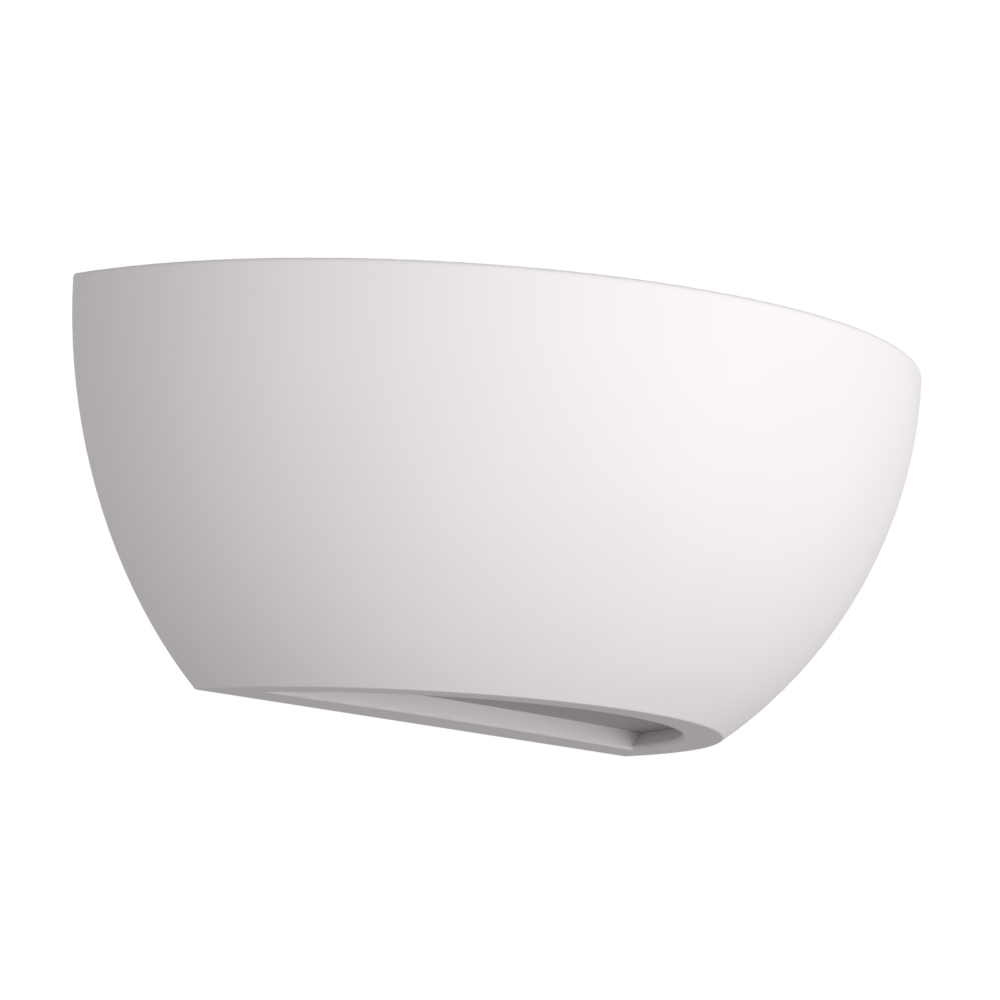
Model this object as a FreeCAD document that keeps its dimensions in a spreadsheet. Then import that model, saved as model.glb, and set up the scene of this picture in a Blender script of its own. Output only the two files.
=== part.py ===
import FreeCAD, Part
import math
import os
import re
import Sketcher
from FreeCAD import Rotation, Vector

# A plaster wall uplighter: half of a round bowl, flat against the wall, open above, with a D-shaped
# opening below that a frosted glass pane closes. A double-ended linear lamp lies inside it.
# Millimetres. +Z up, +X along the wall, the wall is the plane y = 0 and the room is at y < 0.
# The origin is the middle between the two wall fixing slots, on the wall.

doc = FreeCAD.newDocument("wall_uplighter")
sheet = doc.addObject("Spreadsheet::Sheet", "sizes")

SIZES = (
    # the plaster bowl
    ("rim_radius", 150.0, "outer radius at the rim: half the width, and the reach from the wall"),
    ("foot_radius", 93.3, "outer radius at the flat bottom"),
    ("bowl_height", 115.0, "bottom face to rim"),
    ("rim_level", 50.0, "rim above the wall fixings"),
    ("shell_wall", 8.0, "wall of the bowl, measured square to its surface"),
    ("back_wall", 15.0, "thickness of the flat back"),
    ("rim_rounding", 1.8, "radius of the rim's edges"),
    ("foot_rounding", 1.0, "radius of the bottom's edges"),
    ("foot_rim", 13.5, "width of the bottom face in front of the opening"),
    ("ledge_rise", 6.0, "glass ledge above the bottom face"),
    ("pane_ledge", 3.2, "width of the ledge under the glass"),
    ("lip_bow", 5.0, "how far the back lip of the opening bows forward at its middle"),
    ("lip_root", 2.0, "how far the lip's ends run on into the bowl's wall, past the flat back"),
    # the glass
    ("pane_thickness", 4.0, "frosted glass"),
    ("pane_clearance", 0.8, "glass to plaster, all round"),
    ("pane_arris", 0.5, "chamfer of the glass's edges"),
    # the wall plate
    ("plate_half_width", 75.0, "half the plate's width"),
    ("plate_half_height", 32.0, "half the plate's height"),
    ("plate_thickness", 1.5, "sheet of the wall plate"),
    ("plate_flange", 5.0, "depth of the plate's turned edges, from the wall"),
    ("plate_bend", 2.5, "outer radius of the plate's bends"),
    ("plate_pocket", 6.5, "depth of the pocket in the shell's back"),
    ("pocket_clearance", 1.0, "plate to plaster, all round"),
    ("slot_margin", 13.0, "middle of a wall fixing slot to the plate's end"),
    ("slot_radius", 2.5, "half the width of a slot"),
    ("slot_length", 12.0, "end to end"),
    ("cable_level", -17.0, "middle of the cable entry"),
    ("cable_hole", 7.0, "radius of the cable entry in the plate"),
    ("cable_bore", 4.75, "radius of the grommet's bore"),
    ("grommet_flange", 2.0, "how far the grommet's collar stands out round the hole"),
    ("grommet_collar", 2.0, "thickness of that collar"),
    ("grommet_edge", 0.6, "its chamfer"),
    # studs that carry the shell and the carriage
    ("stud_to_slot", 14.0, "stud to the wall fixing slot beside it, middle to middle"),
    ("stud_radius", 2.0, "M4 stud"),
    ("stud_base", 2.6, "radius of the stud's pressed root in the plate"),
    ("stud_length", 27.0, "wall to the stud's end"),
    ("stud_lead", 0.5, "chamfer of the stud's end"),
    ("stud_room", 1.0, "stud to plaster"),
    ("stud_play", 0.3, "stud to the carriage's hole"),
    ("washer_radius", 4.5, "washer under a thumb nut"),
    ("washer_thickness", 1.0, "same"),
    ("nut_radius", 7.0, "knurled thumb nut"),
    ("nut_thickness", 6.0, "same"),
    ("nut_edge", 0.6, "chamfer of its front"),
    ("nut_shoulder", 1.2, "height of its narrower shoulder"),
    ("nut_slope", 0.4, "height of the slope from the shoulder to the knurl"),
    ("knurl_depth", 0.5, "depth of the knurl's grooves"),
    ("knurl_pitch", 1.83, "groove to groove, round the nut"),
    ("fit", 0.05, "clearance of a shank, root or neck in its hole"),
    ("overrun", 1.0, "how far a cut runs past a surface, and a joined form into it"),
    # the window in the shell's back, with the terminals behind the carriage
    ("window_to_stud", 8.0, "window's side to the middle of the stud beside it"),
    ("window_half_height", 27.0, "half the window's height"),
    ("window_corner", 6.0, "radius of its corners"),
    ("block_level", 3.5, "middle of the terminal block"),
    ("block_height", 17.0, "along the wires"),
    ("block_depth", 12.0, "plate to the screws' side"),
    ("block_base", 4.5, "depth of the web between the ways"),
    ("block_margin", 1.0, "web past the outer ways"),
    ("way_pitch", 12.0, "way to way"),
    ("way_radius", 4.2, "half the width of a way's barrel"),
    ("way_corner", 1.0, "radius of the barrel's front edges"),
    ("way_depth", 6.0, "plate to a way's centre line"),
    ("insert_radius", 2.6, "brass insert"),
    ("insert_bore", 1.7, "same"),
    ("insert_inset", 1.0, "its ends inside the block's"),
    ("clamp_screw", 1.5, "radius of a clamping screw"),
    ("clamp_spacing", 8.0, "between a way's two clamping screws"),
    ("clamp_play", 0.4, "clamping screw to its well"),
    ("clamp_inset", 1.0, "screw below the barrel's front, less its gap to the wire"),
    ("clamp_slot", 0.3, "half the width of its driver slot"),
    ("clamp_slot_floor", 1.8, "floor of that slot below the barrel's front"),
    ("fixing_screw", 1.5, "radius of the M3 screws"),
    ("screw_head", 2.8, "radius of an M3 screw's head"),
    ("screw_head_height", 2.0, "same"),
    ("screw_head_round", 1.0, "radius of the head's edge"),
    ("screw_lead", 0.4, "chamfer of the screw's end"),
    ("screw_slot", 0.35, "half the width of its driver slot"),
    ("screw_slot_depth", 0.9, "same"),
    ("head_play", 0.3, "screw's head to its well"),
    ("earth_x", -27.0, "earth stud, sideways"),
    ("earth_level", -17.0, "earth stud, up"),
    ("earth_stud_length", 11.0, "wall to the stud's end"),
    ("hex_nut", 3.5, "half the width across an M4 nut's flats"),
    ("hex_nut_height", 3.2, "same"),
    ("small_nut", 2.75, "half the width across an M3 nut's flats"),
    ("small_nut_height", 2.4, "same"),
    ("screw_past_nut", 0.6, "screw's end past that nut"),
    # the folded carriage
    ("sheet_thickness", 1.2, "steel of the carriage"),
    ("sheet_bend", 2.7, "outer radius of its bends"),
    ("carriage_half_height", 30.0, "half the height of its back"),
    ("ear_front", 12.0, "ear in front of the lamp's axis"),
    ("ear_top", 14.0, "ear's front end above the lamp's axis"),
    ("ear_drop", 14.0, "ear's front end below the lamp's axis"),
    ("ear_root", 8.0, "ear's full height goes this far out from the back"),
    ("ear_corner", 6.0, "radius of the ear's front corners"),
    ("bush_level", 22.0, "wire bushes"),
    ("bush_neck", 3.0, "radius of a bush in the carriage's hole"),
    ("bush_flange", 0.8, "how far its lips stand out, and their thickness"),
    ("bush_edge", 0.3, "how far a lip's slanted edge comes in"),
    ("tag_level", -12.0, "earth screw of the carriage"),
    ("ring_margin", 0.9, "ring tag past the head of that screw"),
    ("crimp_start", 4.8, "lower end of the tag's crimped barrel above the screw"),
    ("crimp_length", 4.2, "same, its length"),
    ("crimp_wall", 0.6, "same, outside of the wire"),
    ("crimp_inset", 0.2, "wire's end inside it"),
    # the lamp and its holders
    ("axis_depth", 62.0, "lamp's axis from the wall"),
    ("axis_level", -10.0, "lamp's axis above the wall fixings"),
    ("lamp_length", 117.6, "end to end, the standard double-ended lamp"),
    ("cap_radius", 4.8, "ceramic ends of the lamp"),
    ("cap_length", 12.8, "same"),
    ("cap_edge", 0.5, "chamfer of its edges"),
    ("recess_radius", 3.2, "contact recess in a ceramic end"),
    ("recess_depth", 1.7, "end face to the contact"),
    ("contact_disc", 0.6, "thickness of the lamp's contacts"),
    ("tube_radius", 5.0, "quartz tube"),
    ("tube_wall", 1.0, "same"),
    ("seal_length", 2.0, "how far the round tube tapers into its pinched end"),
    ("pinch_thickness", 3.0, "flat pinched ends of the tube"),
    ("pinch_width", 8.0, "same"),
    ("pinch_length", 11.0, "same"),
    ("pinch_shown", 7.0, "how much of it shows between tube and ceramic"),
    ("nib_offset", 8.0, "nib where the tube was sealed, from the lamp's middle"),
    ("nib_radius", 1.0, "same"),
    ("nib_height", 1.1, "how far it stands out of the tube"),
    ("filament_radius", 0.6, "coiled filament, taken as a rod"),
    ("support_wire", 0.25, "radius of the filament's support rings"),
    ("end_gap", 0.6, "lamp's end to the fixed holder's face"),
    ("spring_gap", 4.2, "lamp's end to the sprung holder's face"),
    ("holder_length", 16.0, "ceramic block, along the lamp"),
    ("holder_half_width", 9.0, "same, towards and from the wall"),
    ("holder_half_height", 11.0, "same, up and down"),
    ("holder_corner", 2.0, "radius of its long edges"),
    ("cradle_length", 5.0, "the cradle round the lamp's end"),
    ("cradle_room", 0.6, "lamp's end to the cradle"),
    ("cradle_wall", 2.6, "same"),
    ("cradle_top", 5.0, "cradle's arms above the axis"),
    ("contact_radius", 2.0, "contact pin"),
    ("contact_dome", 1.2, "height of its rounded tip"),
    ("contact_touch", 0.05, "tip to the lamp's contact"),
    ("face_wall", 3.0, "ceramic round the pin, at the face"),
    ("chamber_radius", 4.1, "spring chamber"),
    ("chamber_fit", 0.1, "running clearance in the chamber and the pin's bore"),
    ("collar_thickness", 1.5, "plunger's collar"),
    ("preload", 1.5, "collar off its stop while a lamp is in"),
    ("guide_radius", 1.4, "plunger's tail inside the spring"),
    ("guide_length", 4.0, "same"),
    ("plug_thickness", 1.4, "ceramic disc that closes the chamber"),
    ("tag_thickness", 0.8, "brass tags"),
    ("tongue_width", 3.0, "tag's tongue"),
    ("tongue_reach", 3.0, "tongue below the ceramic"),
    ("spring_wire", 0.25, "radius of the spring's wire"),
    ("spring_radius", 3.1, "spring's mean radius"),
    ("holder_screw_y", 5.5, "holder's screws, each side of the axis"),
    ("holder_screw_z", 7.5, "same, below the axis"),
    ("holder_screw_depth", 8.0, "depth of its hole in the ceramic"),
    ("screw_room", 0.5, "screw's end to the bottom of that hole"),
    # the reflector
    ("reflector_gap", 26.0, "lamp's axis to the reflector's back"),
    ("reflector_half", 12.0, "half the height of its flat back"),
    ("reflector_wing", 14.0, "depth and rise of its slanted wings"),
    ("reflector_sheet", 0.6, "aluminium sheet"),
    ("reflector_clearance", 0.3, "reflector to the ears"),
    ("reflector_tab", 11.0, "tabs on the ears, forward of its back"),
    ("reflector_tab_half", 5.0, "half the height of a tab"),
    ("rivet_radius", 1.5, "rivet shank"),
    ("rivet_head", 2.8, "rivet head"),
    ("rivet_head_height", 0.9, "same"),
    ("rivet_slope", 2.38, "radius of the head halfway up, and of the end that is set"),
    # the internal wires
    ("wire_radius", 1.0, "sleeved wire"),
    ("strip_length", 6.0, "wire inside a terminal"),
    ("lead_behind", 8.0, "a lamp's lead behind the reflector's back"),
    ("lead_bow", 1.5, "how far it bows back to the wall at its first bend"),
    ("lead_near", 28.0, "its first bend, sideways"),
    ("lead_near_level", 1.0, "same, up"),
    ("lead_far", 56.0, "its second bend, sideways"),
    ("lead_far_level", -22.0, "same, up"),
    ("lead_short", 2.0, "its third bend, short of the tag, sideways"),
    ("lead_under", 6.0, "same, under the reflector and in front of the second bend"),
    ("lead_dip", 1.0, "lowest bend below the third"),
    ("lead_turn", 8.0, "how far before the tag's line the lead's last two bends lie"),
    ("earth_front", 28.0, "earth lead's first bend in front of its bush, from the wall"),
    ("earth_middle", 26.0, "its second bend, from the wall"),
    ("earth_middle_level", 7.0, "same, up"),
    ("earth_end_run", 7.0, "its last straight, to its end in the tag"),
)

for row, (alias, number, note) in enumerate(SIZES, 1):
    sheet.set(f"A{row}", note)
    sheet.set(f"B{row}", str(number))
    sheet.setAlias(f"B{row}", alias)
doc.recompute()

ALIASES = {alias for alias, number, note in SIZES}

# The rings that hold the filament in the middle of its tube.
FILAMENT_RINGS = 5

# Sizes that follow from the ones above.
DERIVED = {
    # the bowl's wall is one round arc in section, upright at the rim
    "bowl_arc": "((rim_radius - foot_radius)^2 + bowl_height^2) / (2 * (rim_radius - foot_radius))",
    "arc_centre": "rim_radius - bowl_arc",
    "foot_level": "rim_level - bowl_height",
    "ledge_level": "foot_level + ledge_rise",
    "inner_arc": "bowl_arc - shell_wall",
    "seat_radius": "arc_centre + sqrt(inner_arc^2 - (bowl_height - ledge_rise)^2)",
    "opening_radius": "foot_radius - foot_rim",
    "ledge_radius": "seat_radius - pane_ledge",
    # the flat back ends in the middle of the bowl's wall
    "middle_arc": "bowl_arc - shell_wall / 2",
    "back_half_top": "rim_radius - shell_wall / 2",
    "back_half_foot": "arc_centre + sqrt(middle_arc^2 - bowl_height^2)",
    "lip_half": "back_half_foot + lip_root",
    "lip_arc": "(lip_half^2 + lip_bow^2) / (2 * lip_bow)",
    "pane_radius": "seat_radius - pane_clearance",
    "pane_back": "back_wall + pane_clearance",
    "pane_half": "sqrt(pane_radius^2 - pane_back^2)",
    # slots, studs and window from the plate's end inwards
    "slot_offset": "plate_half_width - slot_margin",
    "stud_offset": "slot_offset - stud_to_slot",
    "window_half_width": "stud_offset - window_to_stud",
    # the lamp lies a little off the middle, because one of its holders is sprung
    "holder_face": "lamp_length / 2 + (end_gap + spring_gap) / 2",
    "lamp_offset": "(spring_gap - end_gap) / 2",
    "ear_inner": "holder_face + holder_length",
    "plug_face": "holder_length - plug_thickness",
    "tag_face": "plug_face - tag_thickness",
    "carriage_front": "back_wall + sheet_thickness",
    "reflector_face": "axis_depth - reflector_gap",
    "reflector_end": "ear_inner - reflector_clearance",
    "tab_middle": "reflector_face + reflector_tab / 2",
    "cradle_bore": "cap_radius + cradle_room",
    "block_top": "block_level + block_height / 2",
    "block_front": "plate_thickness + block_depth",
    "way_face": "plate_thickness + way_depth",
    "tag_line": "carriage_front + wire_radius + tag_thickness",
    "dome_arc": "(contact_radius^2 + contact_dome^2) / (2 * contact_dome)",
    "tube_half": "lamp_length / 2 - cap_length - pinch_shown",
    "pinch_in_cap": "pinch_length - pinch_shown",
}


def formula(text):
    """The expression with every size's name turned into its cell, and derived sizes written out."""

    def cell(found):
        word = found.group()
        if word in DERIVED:
            return "(" + formula(DERIVED[word]) + ")"
        return "sizes." + word if word in ALIASES else word

    return re.sub(r"[a-z][a-z_]+", cell, text)


def size(text):
    """The number that an expression has now."""
    return float(sheet.evalExpression(formula(text)))


def new_body(label):
    body = doc.addObject("PartDesign::Body", label)
    body.Label = label
    return body


def new_sketch(body, name, role, offset="0"):
    """A sketch on one of the body's own origin planes, moved along the plane's normal."""
    sketch = body.newObject("Sketcher::SketchObject", name)
    plane = next(f for f in body.Origin.OriginFeatures if f.Role == role)
    sketch.AttachmentSupport = [(plane, "")]
    sketch.MapMode = "FlatFace"
    sketch.setExpression("AttachmentOffset.Base.z", formula(offset))
    return sketch


def bind(sketch, kind, curve, point, text):
    """Holds a curve's point at a distance from the sketch's origin."""
    number = sketch.addConstraint(Sketcher.Constraint(kind, -1, 1, curve, point, size(text)))
    sketch.setExpression(f"Constraints[{number}]", formula(text))


def outline(sketch, corners):
    """A closed outline. A corner is (x, y), and a line leaves it, or (x, y, radius, turn), and an
    arc of less than half a turn leaves it: turn is 1 to the left and -1 to the right."""
    places = [Vector(size(c[0]), size(c[1]), 0) for c in corners]
    first = sketch.GeometryCount
    ends = []
    for i, corner in enumerate(corners):
        here, there = places[i], places[(i + 1) % len(corners)]
        if len(corner) == 2:
            sketch.addGeometry(Part.LineSegment(here, there), False)
            ends.append((1, 2))
            continue
        radius, turn = size(corner[2]), corner[3]
        chord = there - here
        rise = math.sqrt(max(radius**2 - (chord.Length / 2) ** 2, 0))
        left = Vector(-chord.y, chord.x, 0).normalize()
        centre = (here + there) * 0.5 + left * rise * turn
        start, end = (here, there) if turn > 0 else (there, here)
        angles = [math.atan2(p.y - centre.y, p.x - centre.x) for p in (start, end)]
        circle = Part.Circle(centre, Vector(0, 0, 1), radius)
        sketch.addGeometry(Part.ArcOfCircle(circle, angles[0], angles[1]), False)
        ends.append((1, 2) if turn > 0 else (2, 1))
    for i, corner in enumerate(corners):
        after = (i + 1) % len(corners)
        sketch.addConstraint(
            Sketcher.Constraint("Coincident", first + i, ends[i][1], first + after, ends[after][0])
        )
        bind(sketch, "DistanceX", first + i, ends[i][0], corner[0])
        bind(sketch, "DistanceY", first + i, ends[i][0], corner[1])
        if len(corner) == 4:
            number = sketch.addConstraint(Sketcher.Constraint("Radius", first + i, size(corner[2])))
            sketch.setExpression(f"Constraints[{number}]", formula(corner[2]))
    return sketch


def circle(sketch, x, y, radius):
    """A full circle round a point."""
    number = sketch.GeometryCount
    centre = Vector(size(x), size(y), 0)
    sketch.addGeometry(Part.Circle(centre, Vector(0, 0, 1), size(radius)), False)
    bind(sketch, "DistanceX", number, 3, x)
    bind(sketch, "DistanceY", number, 3, y)
    held = sketch.addConstraint(Sketcher.Constraint("Radius", number, size(radius)))
    sketch.setExpression(f"Constraints[{held}]", formula(radius))
    return sketch


def rectangle(sketch, low_x, low_y, high_x, high_y):
    return outline(sketch, [(low_x, low_y), (high_x, low_y), (high_x, high_y), (low_x, high_y)])


def rounded(sketch, x, y, half_x, half_y, radius):
    """A rectangle with round corners, about a point."""
    left, right = f"{x} - ({half_x})", f"{x} + ({half_x})"
    low, high = f"{y} - ({half_y})", f"{y} + ({half_y})"
    return outline(
        sketch,
        [
            (f"{left} + {radius}", low),
            (f"{right} - {radius}", low, radius, 1),
            (right, f"{low} + {radius}"),
            (right, f"{high} - {radius}", radius, 1),
            (f"{right} - {radius}", high),
            (f"{left} + {radius}", high, radius, 1),
            (left, f"{high} - {radius}"),
            (left, f"{low} + {radius}", radius, 1),
        ],
    )


def slot(sketch, x, y, half_length, radius):
    """A slot along x with round ends, each end drawn as two quarter turns."""
    left, right = f"{x} - {half_length} + {radius}", f"{x} + {half_length} - {radius}"
    return outline(
        sketch,
        [
            (left, f"{y} - {radius}"),
            (right, f"{y} - {radius}", radius, 1),
            (f"{x} + {half_length}", y, radius, 1),
            (right, f"{y} + {radius}"),
            (left, f"{y} + {radius}", radius, 1),
            (f"{x} - {half_length}", y, radius, 1),
        ],
    )


def pad(sketch, length, backwards=False):
    """Raises the sketch's outline along the plane's normal, or against it if told so."""
    body = sketch.getParentGeoFeatureGroup()
    doc.recompute()
    before = 0.0 if body.Tip is None else body.Tip.Shape.Volume
    feature = body.newObject("PartDesign::Pad", sketch.Name + "_pad")
    feature.Profile = sketch
    feature.setExpression("Length", formula(length))
    feature.Reversed = backwards
    doc.recompute()
    if feature.Shape.Volume < before + 1e-3:
        raise ValueError(f"{feature.Name} adds nothing")
    return feature


def pocket(sketch, length, along_normal=False):
    """Cuts the sketch's outline to a depth, against the plane's normal unless told otherwise."""
    body = sketch.getParentGeoFeatureGroup()
    doc.recompute()
    before = body.Tip.Shape.Volume
    feature = body.newObject("PartDesign::Pocket", sketch.Name + "_pocket")
    feature.Profile = sketch
    feature.setExpression("Length", formula(length))
    feature.Reversed = along_normal
    doc.recompute()
    if feature.Shape.Volume > before - 1e-3:
        raise ValueError(f"{feature.Name} cuts nothing")
    return feature


def turned(sketch, kind, axis, angle=360, backwards=False):
    """Revolves the outline about one of the sketch's axes: kind is Revolution or Groove."""
    body = sketch.getParentGeoFeatureGroup()
    doc.recompute()
    feature = body.newObject("PartDesign::" + kind, sketch.Name + "_" + kind.lower())
    feature.Profile = sketch
    feature.ReferenceAxis = (sketch, [axis])
    feature.Angle = angle
    feature.Reversed = backwards
    doc.recompute()
    return feature


def row_of(feature, count, pitch):
    """Repeats a feature along x, from the first one towards +x."""
    body = feature.getParentGeoFeatureGroup()
    pattern = body.newObject("PartDesign::LinearPattern", feature.Name + "_row")
    pattern.Originals = [feature]
    axis = next(f for f in body.Origin.OriginFeatures if f.Role == "X_Axis")
    pattern.Direction = (axis, [""])
    pattern.setExpression("Length", formula(f"{count - 1} * {pitch}"))
    pattern.Occurrences = count
    body.Tip = pattern
    doc.recompute()
    return pattern


def soften(body, name, kind, chosen, amount):
    """Fillet or Chamfer on the edges of the body that the test picks."""
    doc.recompute()
    base = body.Tip
    picked = [f"Edge{i}" for i, e in enumerate(base.Shape.Edges, 1) if chosen(e)]
    feature = body.newObject("PartDesign::" + kind, name)
    feature.Base = (base, picked)
    feature.setExpression("Radius" if kind == "Fillet" else "Size", formula(amount))
    doc.recompute()
    return feature


def level_edge(level, beyond=0.0):
    """Picks edges that lie at one height and are not on the wall's plane."""

    def test(edge):
        box = edge.BoundBox
        flat = abs(box.ZMin - level) < 1e-4 and abs(box.ZMax - level) < 1e-4
        return flat and box.YMin < -1e-3 and box.XLength + box.YLength > beyond

    return test


def place(thing, x="0", y="0", z="0", axis=Vector(0, 0, 1), angle=0.0):
    """Turns a piece about its own origin and carries it to a point."""
    thing.Placement = FreeCAD.Placement(Vector(0, 0, 0), Rotation(axis, angle))
    for word, text in (("x", x), ("y", y), ("z", z)):
        thing.setExpression(f"Placement.Base.{word}", formula(text))
    return thing


def copies(label, master, places):
    """Several of one piece in one node. A place is the arguments of place()."""
    links = []
    for i, where in enumerate(places, 1):
        link = doc.addObject("App::Link", f"{label}_{i}")
        link.LinkedObject = master
        place(link, *where)
        links.append(link)
    group = doc.addObject("Part::Compound", label)
    group.Label = label
    group.Links = links
    return group


def channel(half, depth, thickness, bend, place_corner, turn):
    """The section of a folded channel: its web runs along a, its two edges go depth deep along d.
    place_corner(a, d) gives the sketch's x and y, and turn is -1 where that mirrors the section."""
    inner = f"({bend} - {thickness})"
    corners = [
        (f"-({half}) + {bend}", "0", None),
        (f"({half}) - {bend}", "0", (bend, 1)),
        (half, bend, None),
        (half, depth, None),
        (f"{half} - {thickness}", depth, None),
        (f"{half} - {thickness}", bend, (inner, -1)),
        (f"{half} - {bend}", thickness, None),
        (f"-({half}) + {bend}", thickness, (inner, -1)),
        (f"-({half}) + {thickness}", bend, None),
        (f"-({half}) + {thickness}", depth, None),
        (f"-({half})", depth, None),
        (f"-({half})", bend, (bend, 1)),
    ]
    points = []
    for a, d, arc in corners:
        point = place_corner(f"({a})", f"({d})")
        points.append(point if arc is None else point + (arc[0], arc[1] * turn))
    return points


# ---------------------------------------------------------------- the plaster shell


def make_shell():
    """Half a bowl: revolved, hollowed by the same arc set in by the wall, with a flat back."""
    body = new_body("plaster_shell")
    bowl = outline(
        new_sketch(body, "bowl_section", "XZ_Plane"),
        [
            ("0", "rim_level"),
            ("rim_radius", "rim_level", "bowl_arc", -1),
            ("foot_radius", "foot_level"),
            ("0", "foot_level"),
        ],
    )
    turned(bowl, "Revolution", "V_Axis", 180, backwards=True)
    hollow = outline(
        new_sketch(body, "hollow_section", "XZ_Plane"),
        [
            ("0", "foot_level"),
            ("opening_radius", "foot_level"),
            ("ledge_radius", "ledge_level"),
            ("seat_radius", "ledge_level", "inner_arc", 1),
            ("rim_radius - shell_wall", "rim_level"),
            ("0", "rim_level"),
        ],
    )
    turned(hollow, "Groove", "V_Axis")
    back = outline(
        new_sketch(body, "back_section", "XZ_Plane"),
        [
            ("-back_half_top", "rim_level"),
            ("back_half_top", "rim_level", "middle_arc", -1),
            ("back_half_foot", "foot_level"),
            ("-back_half_foot", "foot_level", "middle_arc", -1),
        ],
    )
    pad(back, "back_wall")
    lip = outline(
        new_sketch(body, "lip_plan", "XY_Plane", "foot_level"),
        [
            ("-lip_half", "-back_wall / 2"),
            ("-lip_half", "-back_wall", "lip_arc", 1),
            ("lip_half", "-back_wall"),
            ("lip_half", "-back_wall / 2"),
        ],
    )
    pad(lip, "ledge_rise")
    recess = new_sketch(body, "plate_recess", "XZ_Plane")
    half_width = "plate_half_width + pocket_clearance"
    half_height = "plate_half_height + pocket_clearance"
    rounded(recess, "0", "0", half_width, half_height, "plate_bend")
    pocket(recess, "plate_pocket", along_normal=True)
    window = new_sketch(body, "terminal_window", "XZ_Plane")
    rounded(window, "0", "0", "window_half_width", "window_half_height", "window_corner")
    for side in ("-stud_offset", "stud_offset"):
        circle(window, side, "0", "stud_radius + stud_room")
    pocket(window, "back_wall", along_normal=True)
    soften(body, "rim_edges", "Fillet", level_edge(size("rim_level")), "rim_rounding")
    foot = level_edge(size("foot_level"), beyond=size("back_wall + lip_bow"))
    soften(body, "foot_edges", "Fillet", foot, "foot_rounding")
    return body


def make_pane():
    """The frosted glass: a D that lies on the ledge, its edges chamfered."""
    body = new_body("diffuser_pane")
    plan = outline(
        new_sketch(body, "pane_plan", "XY_Plane", "ledge_level"),
        [
            ("-pane_half", "-pane_back"),
            ("pane_half", "-pane_back", "pane_radius", -1),
        ],
    )
    pad(plan, "pane_thickness")
    soften(body, "pane_arrises", "Chamfer", lambda e: e.BoundBox.ZLength < 1e-6, "pane_arris")
    return body


# ---------------------------------------------------------------- wall plate and studs


def make_wall_plate():
    """Pressed steel: a shallow channel with fixing slots, cable entry and stud holes."""
    body = new_body("wall_plate")
    section = channel(
        "plate_half_height",
        "plate_flange",
        "plate_thickness",
        "plate_bend",
        lambda a, d: (f"-{d}", a),
        1,
    )
    profile = outline(
        new_sketch(body, "plate_section", "YZ_Plane", "-plate_half_width"), section
    )
    pad(profile, "2 * plate_half_width")
    holes = new_sketch(body, "plate_holes", "XZ_Plane")
    for side in ("-", ""):
        slot(holes, f"{side}slot_offset", "0", "slot_length / 2", "slot_radius")
        circle(holes, f"{side}stud_offset", "0", "stud_base + fit")
        circle(holes, f"{side}way_pitch / 2", "block_level", "fixing_screw + fit")
    circle(holes, "0", "cable_level", "cable_hole")
    circle(holes, "earth_x", "earth_level", "stud_base + fit")
    pocket(holes, "plate_thickness", along_normal=True)
    return body


def make_stud(name, length):
    """A press-in stud along -Y: a wide root in the plate, then the M4 shank."""
    body = new_body(name)
    section = outline(
        new_sketch(body, name + "_section", "XY_Plane"),
        [
            ("0", "0"),
            ("0", f"-{length}"),
            ("stud_radius - stud_lead", f"-{length}"),
            ("stud_radius", f"-{length} + stud_lead"),
            ("stud_radius", "-plate_thickness"),
            ("stud_base", "-plate_thickness"),
            ("stud_base", "0"),
        ],
    )
    turned(section, "Revolution", "V_Axis")
    return body


def make_washer():
    body = new_body("washer_shape")
    ring = new_sketch(body, "washer_ring", "XZ_Plane")
    circle(ring, "0", "0", "washer_radius")
    circle(ring, "0", "0", "stud_radius + 2 * fit")
    pad(ring, "washer_thickness")
    return body


def make_thumb_nut():
    """A knurled nut with a narrower shoulder, along -Y."""
    body = new_body("thumb_nut_shape")
    section = outline(
        new_sketch(body, "nut_section", "XY_Plane"),
        [
            ("stud_radius + fit", "0"),
            ("stud_radius + fit", "-nut_thickness"),
            ("nut_radius - nut_edge", "-nut_thickness"),
            ("nut_radius", "-nut_thickness + nut_edge"),
            ("nut_radius", "-nut_shoulder - nut_slope"),
            ("washer_radius", "-nut_shoulder"),
            ("washer_radius", "0"),
        ],
    )
    turned(section, "Revolution", "V_Axis")
    groove = outline(
        new_sketch(body, "knurl_groove", "XZ_Plane"),
        [
            ("nut_radius - knurl_depth", "0"),
            ("nut_radius + overrun", "-knurl_depth - overrun"),
            ("nut_radius + overrun", "knurl_depth + overrun"),
        ],
    )
    cut = pocket(groove, "nut_thickness", along_normal=True)
    knurl = body.newObject("PartDesign::PolarPattern", "knurl")
    knurl.Originals = [cut]
    axis = next(f for f in body.Origin.OriginFeatures if f.Role == "Y_Axis")
    knurl.Axis = (axis, [""])
    knurl.Angle = 360
    knurl.Occurrences = round(size("2 * pi * nut_radius / knurl_pitch"))
    body.Tip = knurl
    return body


def make_hex_nut(name, half_flats, height, bore):
    body = new_body(name)
    plan = new_sketch(body, name + "_plan", "XZ_Plane")
    corner = f"({half_flats}) / cos(30 deg)"
    outline(
        plan,
        [
            (corner, "0"),
            (f"{corner} / 2", half_flats),
            (f"-{corner} / 2", half_flats),
            (f"-{corner}", "0"),
            (f"-{corner} / 2", f"-({half_flats})"),
            (f"{corner} / 2", f"-({half_flats})"),
        ],
    )
    circle(plan, "0", "0", bore)
    pad(plan, height)
    return body


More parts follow.
